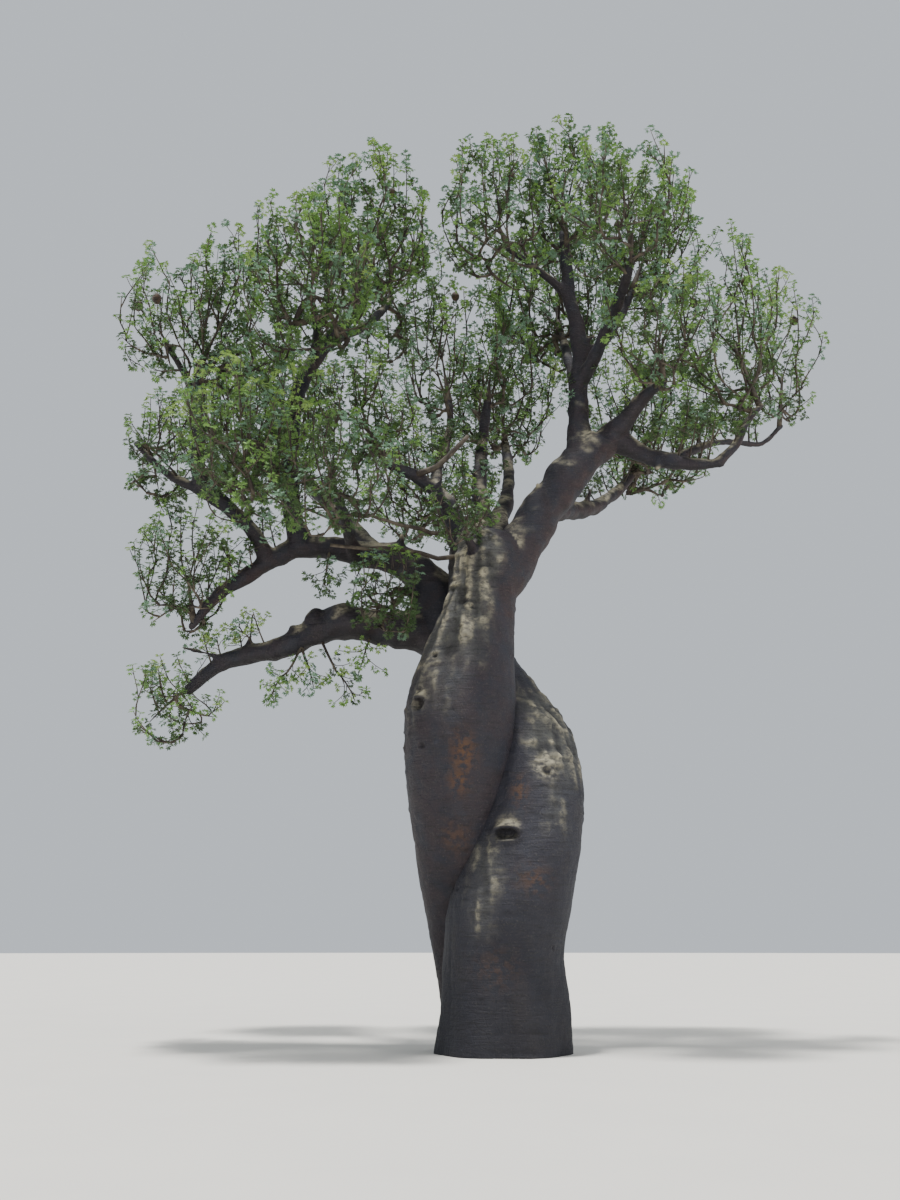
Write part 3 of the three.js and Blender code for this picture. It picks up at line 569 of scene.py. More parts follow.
def measured(curve):
    """The length of a line, and a function for the point and the way ahead at a distance along it."""
    steps = np.linalg.norm(np.diff(curve, axis=0), axis=1)
    reach = np.concatenate(([0], np.cumsum(steps)))

    def at(place):
        i = min(int(np.searchsorted(reach, place, side="right")) - 1, len(steps) - 1)
        step = curve[i + 1] - curve[i]
        return curve[i] + step * ((place - reach[i]) / steps[i]), unit(step)

    return steps.sum(), at


def sideways(ahead, turn, aid=AID):
    """A way straight out of a line, at a turn round it."""
    side = unit(np.cross(ahead, aid))
    return side * math.cos(turn) + np.cross(ahead, side) * math.sin(turn)


def ball_way(i, count, turn):
    """The way to one of several points spread over a ball, turned a little out of their spiral."""
    z = 1 - 2 * (i + 0.5) / count
    ring = math.sqrt(1 - z * z)
    turn += i * GOLDEN_ANGLE
    return np.array((ring * math.cos(turn), ring * math.sin(turn), z))


def bough_line(bough, limbs):
    """The middle line of a bough, as points a step apart."""
    if bough["parent"] in TRUNKS:
        start = trunk_axis(bough["parent"], bough["at"])
    else:
        start = curve_point(limbs[bough["parent"]]["line"], bough["at"])
    steps = max(round(bough["length"] / LIMB_STEP), LEAST_STEPS)
    line = [start]
    for i in range(steps):
        share = (i + 0.5) / steps
        heading = math.radians(along(bough["heading"], share))
        rise = math.radians(along(bough["rise"], share))
        level = math.cos(rise)
        way = np.array((level * math.cos(heading), level * math.sin(heading), math.sin(rise)))
        line.append(line[-1] + way * bough["length"] / steps)
    return np.array(line)


@functools.lru_cache(maxsize=1)
def limb_table():
    """The line and the radii of each trunk and bough."""
    limbs = {}
    for name, trunk in TRUNKS.items():
        heights = [i / TRUNK_RINGS * trunk["dome"]["from"] for i in range(TRUNK_RINGS + 1)]
        radii = np.array([station_value(trunk["stations"], "r", z) for z in heights])
        limbs[name] = {"line": np.array([trunk_axis(name, z) for z in heights]), "radii": radii}
    for bough in BOUGHS:
        line = bough_line(bough, limbs)
        radii = np.array([along(bough["radius"], i / (len(line) - 1)) for i in range(len(line))])
        limbs[bough["name"]] = {"line": line, "radii": radii}
    return limbs


def stem_of(bough_name):
    """The trunk that a bough grows from, by way of its parents."""
    parents = {bough["name"]: bough["parent"] for bough in BOUGHS}
    while bough_name in parents:
        bough_name = parents[bough_name]
    return bough_name


def limbs_of(trunk):
    """The names of a trunk and of all boughs that grow from it."""
    return (trunk, *(bough["name"] for bough in BOUGHS if stem_of(bough["name"]) == trunk))


def limb_spot(name, share):
    """The middle of a limb at a share of its length, and its radius there."""
    limb = limb_table()[name]
    return curve_point(limb["line"], share), along(limb["radii"], share)


@functools.lru_cache(maxsize=4)
def limb_segments(names):
    """The straight pieces of some limbs: number of the limb, start, way and the radii at both ends."""
    rows = []
    for number, name in enumerate(names):
        line, radii = (limb_table()[name][key] for key in ("line", "radii"))
        rows += [
            (number, *start, *(end - start), thick, thin)
            for start, end, thick, thin in zip(line, line[1:], radii, radii[1:])
        ]
    rows = np.array(rows, float)
    return rows[:, 0].astype(int), rows[:, 1:4], rows[:, 4:7], rows[:, 7], rows[:, 8]


def nearest_limb(points, names):
    """For each point: the number of the nearest limb, the distance to its bark and its radius there."""
    numbers, starts, ways, thick, thin = limb_segments(names)
    found = []
    for i in range(0, len(points), POINTS_AT_ONCE):
        apart = points[i:i + POINTS_AT_ONCE, None] - starts
        share = np.clip((apart * ways).sum(-1) / (ways * ways).sum(-1), 0, 1)
        radius = thick + (thin - thick) * share
        distance = np.linalg.norm(apart - share[..., None] * ways, axis=-1) - radius
        best = distance.argmin(1)
        rows = np.arange(len(best))
        found.append(np.stack((numbers[best], distance[rows, best], radius[rows, best])))
    number, distance, radius = np.concatenate(found, 1)
    return number.astype(int), distance, radius


@functools.lru_cache(maxsize=1)
def mass_places():
    """The middles of all masses and the squares of their reaches."""
    middles = np.array([mass["middle"] for mass in MASSES], float)
    return middles, np.array([(sum(mass["half"]) / 3) ** 2 for mass in MASSES])


@functools.lru_cache(maxsize=1)
def closing_ways():
    """For each mass, the way to its nearest neighbours, where fine growth closes the gaps."""
    middles, _ = mass_places()
    ways = []
    for middle in middles:
        apart = middles - middle
        far = np.linalg.norm(apart, axis=1)
        near = np.exp(-far / SKIN["reach"]) / np.maximum(far, 1)
        ways.append(unit((apart * near[:, None]).sum(0)))
    return ways


def skin_share(mass, points):
    """How far out points lie in a mass: 1 on its skin, which has bays and teeth."""
    number = MASSES.index(mass)
    places = (points - mass["middle"]) / mass["half"]
    far = np.linalg.norm(places, axis=1)
    ways = places / np.maximum(far, 0.001)[:, None]
    bays = SKIN["bays"] * grain(ways, SKIN["bay_size"], number)
    teeth = SKIN["teeth"] * grain(ways, SKIN["tooth_size"], number)
    skin = np.minimum(1 + bays + teeth, SKIN["furthest"])
    skin = skin + SKIN["closing"] * np.clip(ways @ closing_ways()[number], 0, 1)
    return far / skin


def has_room(mass, points):
    """Which points are clear of the limbs and of other masses.

    Where masses overlap, a point belongs to the one whose claim is the least.
    """
    middles, reaches = mass_places()
    here = MASSES.index(mass)
    claims = ((points[:, None] - middles) ** 2).sum(-1) - reaches
    gaps = 2 * SPACE_GAP * np.linalg.norm(middles - middles[here], axis=1)
    others = np.arange(len(MASSES)) != here
    free = (claims - claims[:, [here]] > gaps)[:, others].all(1)
    _, clear, _ = nearest_limb(points, tuple(limb_table()))
    return free & (clear > LIMB_GAP)


def in_space(mass, points):
    """Which points keep to the ellipsoid of a mass and have room there, as in the source."""
    points = np.atleast_2d(points)
    inside = (((points - mass["middle"]) / mass["half"]) ** 2).sum(1) <= 1
    return inside & has_room(mass, points)


def main_twigs(mass, draw):
    """The stem and the twigs of a mass, exactly as the source grows them."""
    line = limb_table()[mass["bough"]]["line"]
    middle = np.array(mass["middle"], float)
    foot = line[-1] + (line[-2] - line[-1]) * STEM["set_back"]
    twigs = []
    buds = []

    def grow(start, end, owner, shares):
        ahead = unit(end - start)
        twigs.append({"start": start, "end": end, "ahead": ahead, "owner": owner})
        buds.extend((start + (end - start) * share, ahead, len(twigs) - 1) for share in shares)

    span = STEM["last_bud"] - STEM["first_bud"]
    stem_shares = [STEM["first_bud"] + span * i / (STEM["buds"] - 1) for i in range(STEM["buds"])]
    grow(foot, foot + (middle - foot) * STEM["share"], -1, stem_shares)
    ends = []
    for i in range(mass["twigs"]):
        out = ball_way(i, mass["twigs"], draw() * SHELLS["turn"]) * mass["half"]
        shell = SHELLS["shares"][i % len(SHELLS["shares"])] + draw() * SHELLS["jitter"]
        end = middle + out * shell
        if in_space(mass, end)[0]:
            ends.append(end)
    ends.sort(key=lambda end: math.dist(end, foot))
    for end in ends:
        costs = []
        for point, ahead, _ in buds:
            reach = math.dist(end, point)
            way = (end - point) / reach
            turned = TWIG["ahead_pull"] * (1 - way @ ahead)
            costs.append(reach * (1 + turned - TWIG["up_pull"] * way[2]))
        best = costs.index(min(costs))
        point, _, owner = buds[best]
        if in_space(mass, (point + end) / 2)[0]:
            buds.pop(best)
            forks = TWIG["fork"] if math.dist(point, end) > TWIG["longest"] else []
            grow(point, end, owner, forks)
    return twigs


def bent(start, end, lead, lift, count):
    """Points on a curve that leaves along one way and comes up as it reaches its end."""
    reach = math.dist(start, end)
    way = (end - start) / reach
    arrive = unit(way + UP * lift)
    first = start + lead * reach / 3
    second = end - arrive * reach / 3
    t = np.linspace(0, 1, count + 1)[:, None]
    return (
        (1 - t) ** 3 * start + 3 * t * (1 - t) ** 2 * first
        + 3 * t**2 * (1 - t) * second + t**3 * end
    )


def upturn(way):
    """How far a shoot comes up at its end: less the more it hangs."""
    return UPTURN["most"] * min(max(1 + UPTURN["fall"] * way[2], UPTURN["least"]), 1)


def in_box(points):
    """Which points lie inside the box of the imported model, in millimetres."""
    low, high = (np.array(corner) / MM for corner in CAD_BOX)
    return ((points > low) & (points < high)).all(1)


def in_crown(mass, points, reach=1.0):
    """Which points of the finer growth keep within the uneven skin of a mass and have room."""
    points = np.atleast_2d(points)
    return (skin_share(mass, points) <= reach) & in_box(points) & has_room(mass, points)


def fine_ends(mass, density, draw):
    """Places for the ends of fine shoots, spread through a mass and thicker near its skin."""
    volume = 4 / 3 * math.pi * np.prod(np.array(mass["half"]) * MM)
    count = round(volume * density * FULLNESS.get(mass["bough"], 1))
    low, high = (share**3 for share in FINE_SHELL)
    outs = []
    shells = []
    for i in range(count):
        outs.append(ball_way(i, count, draw()))
        shells.append((low + (high - low) * draw() ** OUTWARD) ** (1 / 3))
    outs = np.array(outs) * mass["half"]
    skins = 1 / skin_share(mass, mass["middle"] + outs)
    ends = mass["middle"] + outs * (skins * shells)[:, None]
    return ends[in_crown(mass, ends)]


def limb_buds(mass):
    """Buds on the boughs that pass through a mass: points inside the bark and the ways out."""
    buds = []
    for number, bough in enumerate(BOUGHS):
        count = round(bough["length"] / LIMB_BUD["step"])
        for i in range(1, count):
            point, radius = limb_spot(bough["name"], i / count)
            if (((point - mass["middle"]) / mass["half"]) ** 2).sum() > 1:
                continue
            then, _ = limb_spot(bough["name"], (i + 0.5) / count)
            ahead = unit(then - point)
            out = sideways(ahead, i * GOLDEN_ANGLE + number)
            out = unit(out + LIMB_BUD["ahead"] * ahead + LIMB_BUD["up"] * UP)
            buds.append((point + out * LIMB_BUD["out"] * radius, out))
    return buds


def add_shoot(shoots, curve, owner, level, free=False):
    shoots.append({"curve": curve, "owner": owner, "level": level, "load": 0, "free": free})
    return len(shoots) - 1


def add_spray(shoots, line, count, load, draw):
    """A shoot outside the masses with its side shoots, thin enough to need no room of its own."""
    stem = add_shoot(shoots, line, -1, FINE_LEVEL if count else BARE, True)
    shoots[stem]["load"] = load
    for i in range(count):
        foot, ahead = curve_foot(line, SPRAY["from"] + SPRAY["over"] * i / count)
        out = sideways(ahead, i * GOLDEN_ANGLE + draw(), SPRAY_AID)
        out = unit(out + SPRAY["ahead"] * ahead)
        tip = foot + out * (SPRAY["least"] + SPRAY["more"] * draw())
        curve = bent(foot, tip, ahead, SPRAY["lift"], SPRAY["steps"])
        add_shoot(shoots, curve, stem, FINE_LEVEL, True)


def add_side_limb(shoots, limb, draw):
    """A thin limb outside the masses, bare or with a few leafy shoots."""
    start, _ = limb_spot(limb["from"], limb["at"])
    end, lead = np.array(limb["to"], float), unit(np.array(limb["lead"], float))
    line = bent(start, end, lead, limb["lift"], SIDE_LIMB_STEPS)
    sway = np.sin(np.linspace(0, math.pi, len(line))) * SWAY["height"]
    for axis, seed in SWAY["seeds"]:
        line[:, axis] += sway * grain(line, SWAY["size"], seed)
    add_spray(shoots, line, limb["shoots"], limb["load"], draw)


def add_fringe(shoots, name, first, last, count, reach, draw):
    """Upright leafy shoots along the bare part of a bough."""
    for i in range(count):
        share = first + (last - first) * (i + FRINGE["uneven"] * draw()) / count
        foot, ahead = curve_foot(limb_table()[name]["line"], share)
        level = unit(np.cross(ahead, UP)) * (draw() - 0.5)
        way = unit(UP + FRINGE["aside"] * level + FRINGE["ahead"] * ahead)
        _, radius = limb_spot(name, share)
        tip = foot + way * (radius + reach * (FRINGE["least"] + FRINGE["more"] * draw()))
        lead = unit(way + FRINGE["spread"] * level)
        line = bent(foot, tip, lead, FRINGE["lift"], FRINGE["steps"])
        add_spray(shoots, line, FRINGE["shoots"], FRINGE["load"], draw)


def mass_shoots(mass, seed, density, bud_step):
    """All shoots of a mass: the source's twigs with a bend, and the finer ones that leave them."""
    draw = seeded(seed)
    twigs = main_twigs(mass, draw)
    shoots = []
    points, aheads, owners = [], [], []

    def add_bud(point, ahead, owner):
        points.append(point)
        aheads.append(ahead)
        owners.append(owner)

    def add_buds(number, spacing, first):
        length, at = measured(shoots[number]["curve"])
        for place in np.arange(length * first, length * LAST_BUD, spacing):
            add_bud(*at(place), number)

    for n, twig in enumerate(twigs):
        start, end, ahead, owner = (twig[key] for key in ("start", "end", "ahead", "owner"))
        if n == 0:
            add_shoot(shoots, bent(start, end, ahead, 0, STEM_STEPS), owner, STEM_LEVEL)
            add_buds(n, bud_step / MM, FIRST_BUD["stem"])
        else:
            lead = unit(ahead + TWIG_LEAD * twigs[owner]["ahead"])
            curve = bent(start, end, lead, upturn(unit(end - start)), TWIG_STEPS)
            add_shoot(shoots, curve, owner, TWIG_LEVEL)
            add_buds(n, bud_step / MM, FIRST_BUD["twig"])
    for point, ahead in limb_buds(mass):
        add_bud(point, ahead, -1)
    ends = fine_ends(mass, density, draw)
    ends = ends[np.argsort(np.linalg.norm(ends - twigs[0]["start"], axis=1))]
    for end in ends:
        ways = end - np.array(points)
        reach = np.linalg.norm(ways, axis=1)
        ways = ways / np.maximum(reach, 1)[:, None]
        turned = FINE_PULL["ahead"] * (1 - (ways * np.array(aheads)).sum(1))
        cost = reach * (1 + turned - FINE_PULL["up"] * ways[:, 2])
        cost = cost + FINE_PULL["near_cost"] * (reach < FINE_PULL["near"])
        best = int(cost.argmin())
        way, far = ways[best], reach[best]
        if far > LONGEST_SHOOT or (way[2] < HANG["steep"] and far > HANG["longest"]):
            continue
        lead = FINE_LEAD["way"] * way + FINE_LEAD["bud"] * aheads[best] + FINE_LEAD["up"] * UP
        count = next(steps for longest, steps in FINE_STEPS if far < longest)
        curve = bent(points[best], end, unit(lead), upturn(way), count)
        if not in_crown(mass, curve[len(curve) // 2])[0]:
            continue
        number = add_shoot(shoots, curve, owners[best], FINE_LEVEL)
        for kept in (points, aheads, owners):
            kept.pop(best)
        add_buds(number, bud_step / MM * FINE_BUD_STEP, FIRST_BUD["fine"])
    for limb in SIDE_LIMBS:
        if limb["mass"] == mass["bough"]:
            add_side_limb(shoots, limb, draw)
    for owner, *fringe in FRINGES:
        if owner == mass["bough"]:
            add_fringe(shoots, *fringe, draw)
    return shoots, draw


def shoot_tufts(mass, shoots, draw, step):
    """Tufts along the outer part of each shoot and at its end: root, tip, way out and shoot."""
    tufts = []
    for number, shoot in enumerate(shoots):
        if shoot["level"] in (STEM_LEVEL, BARE):
            continue
        length, at = measured(shoot["curve"])
        turn = draw() * 2 * math.pi
        for n, place in enumerate(np.arange(length, length * TUFT["from"], -step / MM)):
            root, ahead = at(place)
            if n == 0:
                tufts.append((root, root, unit(ahead + TUFT["end_up"] * UP), number))
                continue
            turn += GOLDEN_ANGLE + (draw() - 0.5)
            out = sideways(ahead, turn, AID if abs(ahead[2]) < STEEP_SHOOT else STEEP_AID)
            out = unit(out + TUFT["ahead"] * ahead + TUFT["up"] * UP)
            tip = root + out * (TUFT["least"] + TUFT["more"] * draw())
            tufts.append((root, tip, out, number))
    tips = np.array([tuft[1] for tuft in tufts])
    fits = in_crown(mass, tips, TUFT["reach"])
    fits |= np.array([shoots[tuft[3]]["free"] for tuft in tufts])
    return [tuft for tuft, fit in zip(tufts, fits) if fit]


@functools.lru_cache(maxsize=2)
def grow_crown(density, bud_step, tuft_step):
    """Every mass with its shoots and tufts. Each shoot's load is the number of tufts that it carries."""
    crown = []
    for i, mass in enumerate(MASSES):
        shoots, draw = mass_shoots(mass, FIRST_SEED + i, density, bud_step)
        tufts = shoot_tufts(mass, shoots, draw, tuft_step * SPARSE.get(mass["bough"], 1))
        for *_, number in tufts:
            shoots[number]["load"] += 1
        for shoot in reversed(shoots):
            if shoot["owner"] >= 0:
                shoots[shoot["owner"]]["load"] += shoot["load"]
        crown.append((mass, shoots, tufts))
    return crown


def crown_of(context):
    settings = context.scene.baobab_twigs
    return grow_crown(settings.density, settings.bud_step, settings.tuft_step)


def tubes(paths, radii, sides):
    """Many closed tubes of one pattern, from their paths and radii: corners and triangles."""
    count, rings, _ = paths.shape
    ahead = np.empty_like(paths)
    ahead[:, 1:-1] = paths[:, 2:] - paths[:, :-2]
    ahead[:, 0] = paths[:, 1] - paths[:, 0]
    ahead[:, -1] = paths[:, -1] - paths[:, -2]
    ahead = unit(ahead)
    chord = unit(paths[:, -1] - paths[:, 0])
    steady = np.where(np.abs(chord[:, 2:]) > STEEP_SHOOT, (1.0, 0.0, 0.0), (0.0, 0.0, 1.0))
    side = unit(np.cross(ahead, steady[:, None, :]))
    across = np.cross(ahead, side)
    turn = np.arange(sides) * 2 * math.pi / sides
    round_ring = (
        side[:, :, None] * np.cos(turn)[None, None, :, None]
        + across[:, :, None] * np.sin(turn)[None, None, :, None]
    )
    corners = paths[:, :, None] + round_ring * radii[:, :, None, None]
    here = np.arange(sides)
    then = (here + 1) % sides
    pattern = []
    for ring in range(rings - 1):
        low, high = ring * sides, (ring + 1) * sides
        pattern.append(np.stack((low + here, low + then, high + then), 1))
        pattern.append(np.stack((low + here, high + then, high + here), 1))
    fan, last = np.arange(1, sides - 1), (rings - 1) * sides
    pattern.append(np.stack((0 * fan, fan + 1, fan), 1))
    pattern.append(np.stack((0 * fan + last, last + fan, last + fan + 1), 1))
    pattern = np.concatenate(pattern)
    starts = np.arange(count)[:, None, None] * rings * sides
    return corners.reshape(-1, 3), (pattern[None] + starts).reshape(-1, 3)


def gathered(shapes):
    """Several sets of corners and triangles as one."""
    corners, triangles, start = [], [], 0
    for points, faces in shapes:
        corners.append(points)
        triangles.append(faces + start)
        start += len(points)
    return np.concatenate(corners), np.concatenate(triangles)


def joined_mesh(name, corners, triangles, smooth):
    mesh = bpy.data.meshes.new(name)
    mesh.vertices.add(len(corners))
    mesh.vertices.foreach_set("co", corners.astype(np.float32).ravel())
    mesh.loops.add(triangles.size)
    mesh.loops.foreach_set("vertex_index", triangles.astype(np.int32).ravel())
    mesh.polygons.add(len(triangles))
    mesh.polygons.foreach_set("loop_start", np.arange(0, triangles.size, 3, dtype=np.int32))
    mesh.polygons.foreach_set("use_smooth", np.full(len(triangles), smooth))
    mesh.update(calc_edges=True)
    return mesh


def poured(shell, name):
    """A new mesh from a bmesh, which is freed."""
    mesh = bpy.data.meshes.new(name)
    shell.to_mesh(mesh)
    shell.free()
    return mesh


def new_object(name, data):
    """A new object in the scene."""
    made = bpy.data.objects.new(name, data)
    bpy.context.scene.collection.objects.link(made)
    return made


def add_piece(name, mesh, material, nodes):
    """A finished piece: it rides on the tree, takes its finish and stands for CAD nodes."""
    mesh.materials.append(material)
    piece = new_object(name, mesh)
    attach(piece, "root")
    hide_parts(*nodes)


# Bark

def lattice(cells, seed):
    """A number from -1 to 1 for each whole cell, the same on every run."""
    x, y, z = (cells[:, i].astype(np.int64) for i in range(3))
    mixed = (x * 374761393 + y * 668265263 + z * 1442695041 + seed * 1274126177) & 0xFFFFFFFF
    mixed = ((mixed ^ (mixed >> 13)) * 1274126177) & 0xFFFFFFFF
    mixed = ((mixed ^ (mixed >> 15)) * 668265263) & 0xFFFFFFFF
    return (mixed ^ (mixed >> 16)) / 0x7FFFFFFF - 1


def grain(points, size, seed):
    """Smooth random relief from -1 to 1, with grains of the size given."""
    scaled = points / np.array(size, float)
    low = np.floor(scaled)
    part = scaled - low
    part = part * part * (3 - 2 * part)
    total = np.zeros(len(points))
    for corner in itertools.product((0, 1), repeat=3):
        weight = np.where(corner, part, 1 - part).prod(1)
        total += weight * lattice(low + corner, seed)
    return total


def layer(points, name):
    """One of the bark's layers of noise, for points in metres."""
    return grain(points, *LAYERS[name])


def ease(values, low, high):
    """0 below low, 1 above high and smooth between them."""
    t = np.clip((values - low) / (high - low), 0, 1)
    return t * t * (3 - 2 * t)


def tube_frames(points):
    """Frames along points, not twisted: the way ahead and two ways across."""
    ahead = unit(np.gradient(points, axis=0))
    side = np.array((1.0, 0.0, 0.0)) if abs(ahead[0][2]) > STEEP else UP
    sides = []
    for way in ahead:
        side = unit(side - way * (side @ way))
        sides.append(side)
    sides = np.array(sides)
    return ahead, sides, np.cross(sides, ahead)


def ring_matrix(point, side, across, ahead, radius):
    """Where the unit circle goes for a ring at a point in millimetres."""
    columns = (side * (radius * MM), across * (radius * MM), ahead, point * MM)
    matrix = Matrix.Identity(4)
    for c, column in enumerate(columns):
        for row in range(3):
            matrix[row][c] = float(column[row])
    return matrix


def draw_tube(shell, frames, sides):
    """A closed tube added to a bmesh: a capped circle that is extruded from frame to frame."""
    tube = bmesh.new()
    made = bmesh.ops.create_circle(
        tube, cap_ends=True, segments=sides, radius=1, matrix=frames[0]
    )
    edges = list({edge for vert in made["verts"] for edge in vert.link_edges})
    for before, after in zip(frames, frames[1:]):
        grown = bmesh.ops.extrude_edge_only(tube, edges=edges)["geom"]
        verts = [part for part in grown if isinstance(part, bmesh.types.BMVert)]
        fresh = set(verts)
        edges = [
            part for part in grown
            if isinstance(part, bmesh.types.BMEdge) and set(part.verts) <= fresh
        ]
        bmesh.ops.transform(tube, matrix=after @ before.inverted(), verts=verts)
    bmesh.ops.contextual_create(tube, geom=edges)
    drawn = poured(tube, "tube")
    shell.from_mesh(drawn)
    bpy.data.meshes.remove(drawn)


def draw_trunk(shell, trunk):
    """A trunk from just under the ground to the top of its dome, with level rings."""
    stations = TRUNKS[trunk]["stations"]
    top, height = (TRUNKS[trunk]["dome"][key] for key in ("from", "height"))
    x, y, z = np.eye(3)
    frames = []
    for level in (UNDERGROUND, *np.arange(0, top, float(RING_STEP["trunk"])), top):
        at = max(level, 0)
        axis = trunk_axis(trunk, at)
        axis[2] = level
        frames.append(ring_matrix(axis, x, y, z, station_value(stations, "r", at)))
    axis = trunk_axis(trunk, top)
    for turn in np.radians(DOME_TURNS):
        radius = station_value(stations, "r", top) * math.cos(turn)
        frames.append(ring_matrix(axis + UP * height * math.sin(turn), x, y, z, radius))
    draw_tube(shell, frames, SIDES["trunk"])


def draw_bough(shell, bough, collar, gnarl):
    """A bough with a collar where it leaves its parent, a slight wander and a rounded tip."""
    line = limb_table()[bough["name"]]["line"]
    count = max(round(bough["length"] / RING_STEP["bough"]), LEAST_BOUGH_RINGS)
    shares = np.linspace(0, 1, count + 1)
    points = np.array([curve_point(line, share) for share in shares])
    radii = np.array([along(bough["radius"], share) for share in shares])
    if bough["parent"] in TRUNKS:
        parent_radius = station_value(TRUNKS[bough["parent"]]["stations"], "r", bough["at"])
    else:
        _, parent_radius = limb_spot(bough["parent"], bough["at"])
    ahead, side, across = tube_frames(points)
    wander = np.sin(shares * math.pi)[:, None] * radii[:, None] * gnarl
    seed = len(bough["name"]) + int(bough["length"])
    aside, over = (grain(points, WANDER_SIZE, seed + i)[:, None] for i in (0, 1))
    points = points + wander * (side * aside + across * over)
    clear = np.maximum(shares * bough["length"] - COLLAR["inside"] * parent_radius, 0)
    radii = radii * (1 + collar * np.exp(-clear / (COLLAR["reach"] * radii)))
    end, thick = points[-1], radii[-1]
    points = np.vstack((points, *(end + ahead[-1] * thick * far for far, _ in TIP_RINGS)))
    radii = np.append(radii, [thick * share for _, share in TIP_RINGS])
    ahead, side, across = tube_frames(points)
    frames = [ring_matrix(*ring) for ring in zip(points, side, across, ahead, radii)]
    draw_tube(shell, frames, SIDES["thick_bough" if radii[0] > THICK_BOUGH else "bough"])


def stub_ends(name, share, way, length):
    """Both ends of a stub, from the middle of its bough to a length past the bark."""
    start, radius = limb_spot(name, share)
    return start, start + unit(np.array(way, float)) * (radius + length)


def add_ball(shell, middle, radius, squash, fineness):
    """A ball in a bmesh, from millimetres, with its height as a share of its width."""
    place = Matrix.Translation(middle * MM) @ Matrix.Diagonal((1, 1, squash, 1))
    bmesh.ops.create_icosphere(shell, subdivisions=fineness, radius=radius * MM, matrix=place)


def draw_burls(shell, trunk):
    """Swollen knots and broken stubs on the limbs of one trunk."""
    limbs = limbs_of(trunk)
    for name, share, way, radius, proud in BURLS:
        if name in limbs:
            _, middle = stub_ends(name, share, way, proud - radius)
            add_ball(shell, middle, radius, 1, BALL_FINENESS["burl"])
    for name, share, way, length, radius in STUBS:
        if name in limbs:
            start, end = stub_ends(name, share, way, length)
            out = unit(end - start)
            side = unit(np.cross(out, STUB_AID))
            across = np.cross(side, out)
            frames = [
                ring_matrix(start + (end - start) * t, side, across, out, radius * share)
                for t, share in STUB_RINGS
            ]
            draw_tube(shell, frames, SIDES["stub"])


def draw_knobs(shell, trunk):
    """The branch knobs and the scar's rim of one trunk."""
    for knob in KNOBS:
        if knob["trunk"] != trunk:
            continue
        point, out = on_trunk(trunk, knob["z"], knob["angle"])
        middle = point + out * (knob["proud"] - knob["radius"])
        add_ball(shell, middle, knob["radius"], knob["squash"], BALL_FINENESS["knob"])
    if SCAR["trunk"] == trunk:
        point, out = on_trunk(trunk, SCAR["z"], SCAR["angle"])
        ahead = np.cross(UP, out)
        turns = np.radians(SCAR["turns"])
        wide, tall = (SCAR["radius"] * stretch for stretch in SCAR["stretch"])
        for a, b in zip(turns, turns[1:]):
            ends = [
                point + ahead * wide * math.cos(t) + UP * tall * math.sin(t) for t in (a, b)
            ]
            way = unit(ends[1] - ends[0])
            frames = [ring_matrix(end, out, np.cross(out, way), way, SCAR["rim"]) for end in ends]
            draw_tube(shell, frames, SIDES["scar"])


def bark_shell(trunk, settings):
    """One closed skin over a trunk and all its boughs, with smooth forks."""
    shell = bmesh.new()
    draw_trunk(shell, trunk)
    for bough in BOUGHS:
        if bough["name"] in limbs_of(trunk):
            draw_bough(shell, bough, settings.collar, settings.gnarl)
    draw_burls(shell, trunk)
    draw_knobs(shell, trunk)
    bmesh.ops.recalc_face_normals(shell, faces=shell.faces)
    draft = poured(shell, "bark_draft")
    holder = new_object("bark_draft", draft)
    remesh = holder.modifiers.new("skin", "REMESH")
    remesh.mode = "VOXEL"
    remesh.voxel_size = settings.skin_step
    depsgraph = bpy.context.evaluated_depsgraph_get()
    skin = bpy.data.meshes.new_from_object(holder.evaluated_get(depsgraph))
    bpy.data.objects.remove(holder)
    bpy.data.meshes.remove(draft)
    return skin


def mesh_arrays(mesh):
    """The corners and normals of a mesh, in metres."""
    corners = np.empty(len(mesh.vertices) * 3, np.float32)
    normals = np.empty(len(mesh.vertices) * 3, np.float32)
    mesh.vertices.foreach_get("co", corners)
    mesh.vertex_normals.foreach_get("vector", normals)
    return corners.reshape(-1, 3).astype(float), normals.reshape(-1, 3).astype(float)


def trunk_turn(trunk, corners):
    """The angle round a trunk's axis, for corners in metres."""
    heights = np.arange(0, TRUNKS[trunk]["dome"]["from"] + 1, AXIS_STEP)
    axes = np.array([trunk_axis(trunk, z) for z in heights]) * MM
    x = corners[:, 0] - np.interp(corners[:, 2], axes[:, 2], axes[:, 0])
    y = corners[:, 1] - np.interp(corners[:, 2], axes[:, 2], axes[:, 1])
    return np.arctan2(y, x)


def sunlit_share(trunk, corners, angle):
    """How far each corner lies in a patch of painted sunlight on its trunk, from 0 to 1, with ragged
    edges.
    """
    share = np.zeros(len(corners))
    rise, swing = SUNLIT_EDGE["height"], SUNLIT_EDGE["turn"]
    height = corners[:, 2] + rise * layer(corners, "sunlit_height")
    turn = np.degrees(angle) + swing * layer(corners, "sunlit_turn")
    for name, low, high, middle, half, strength in SUNLIT_AREAS:
        if name == trunk:
            apart = np.abs((turn - middle + 180) % 360 - 180)
            patch = ease(height, low - rise, low + rise) * ease(-height, -high - rise, -high + rise)
            patch = patch * ease(-apart, -half - swing, -half + swing) * strength
            share = np.maximum(share, patch)
    return share


def rope_relief(corners):
    """Upright ropes of bark broken by wavy cross folds, from about -1 to 1."""
    x, y, z = corners.T
    sway = ROPES["sway"] * layer(corners, "sway")
    ropes = layer(np.stack((x + sway, y, z), 1), "ropes")
    folds = layer(np.stack((x, y, z + sway), 1), "cross_folds")
    return ROPES["upright"] * ropes + ROPES["across"] * folds


def away_from(corners, point, size, stretch=1):
    """Distances from a point in millimetres as shares of a size in millimetres."""
    return np.linalg.norm((corners - point * MM) * stretch, axis=1) / (size * MM)


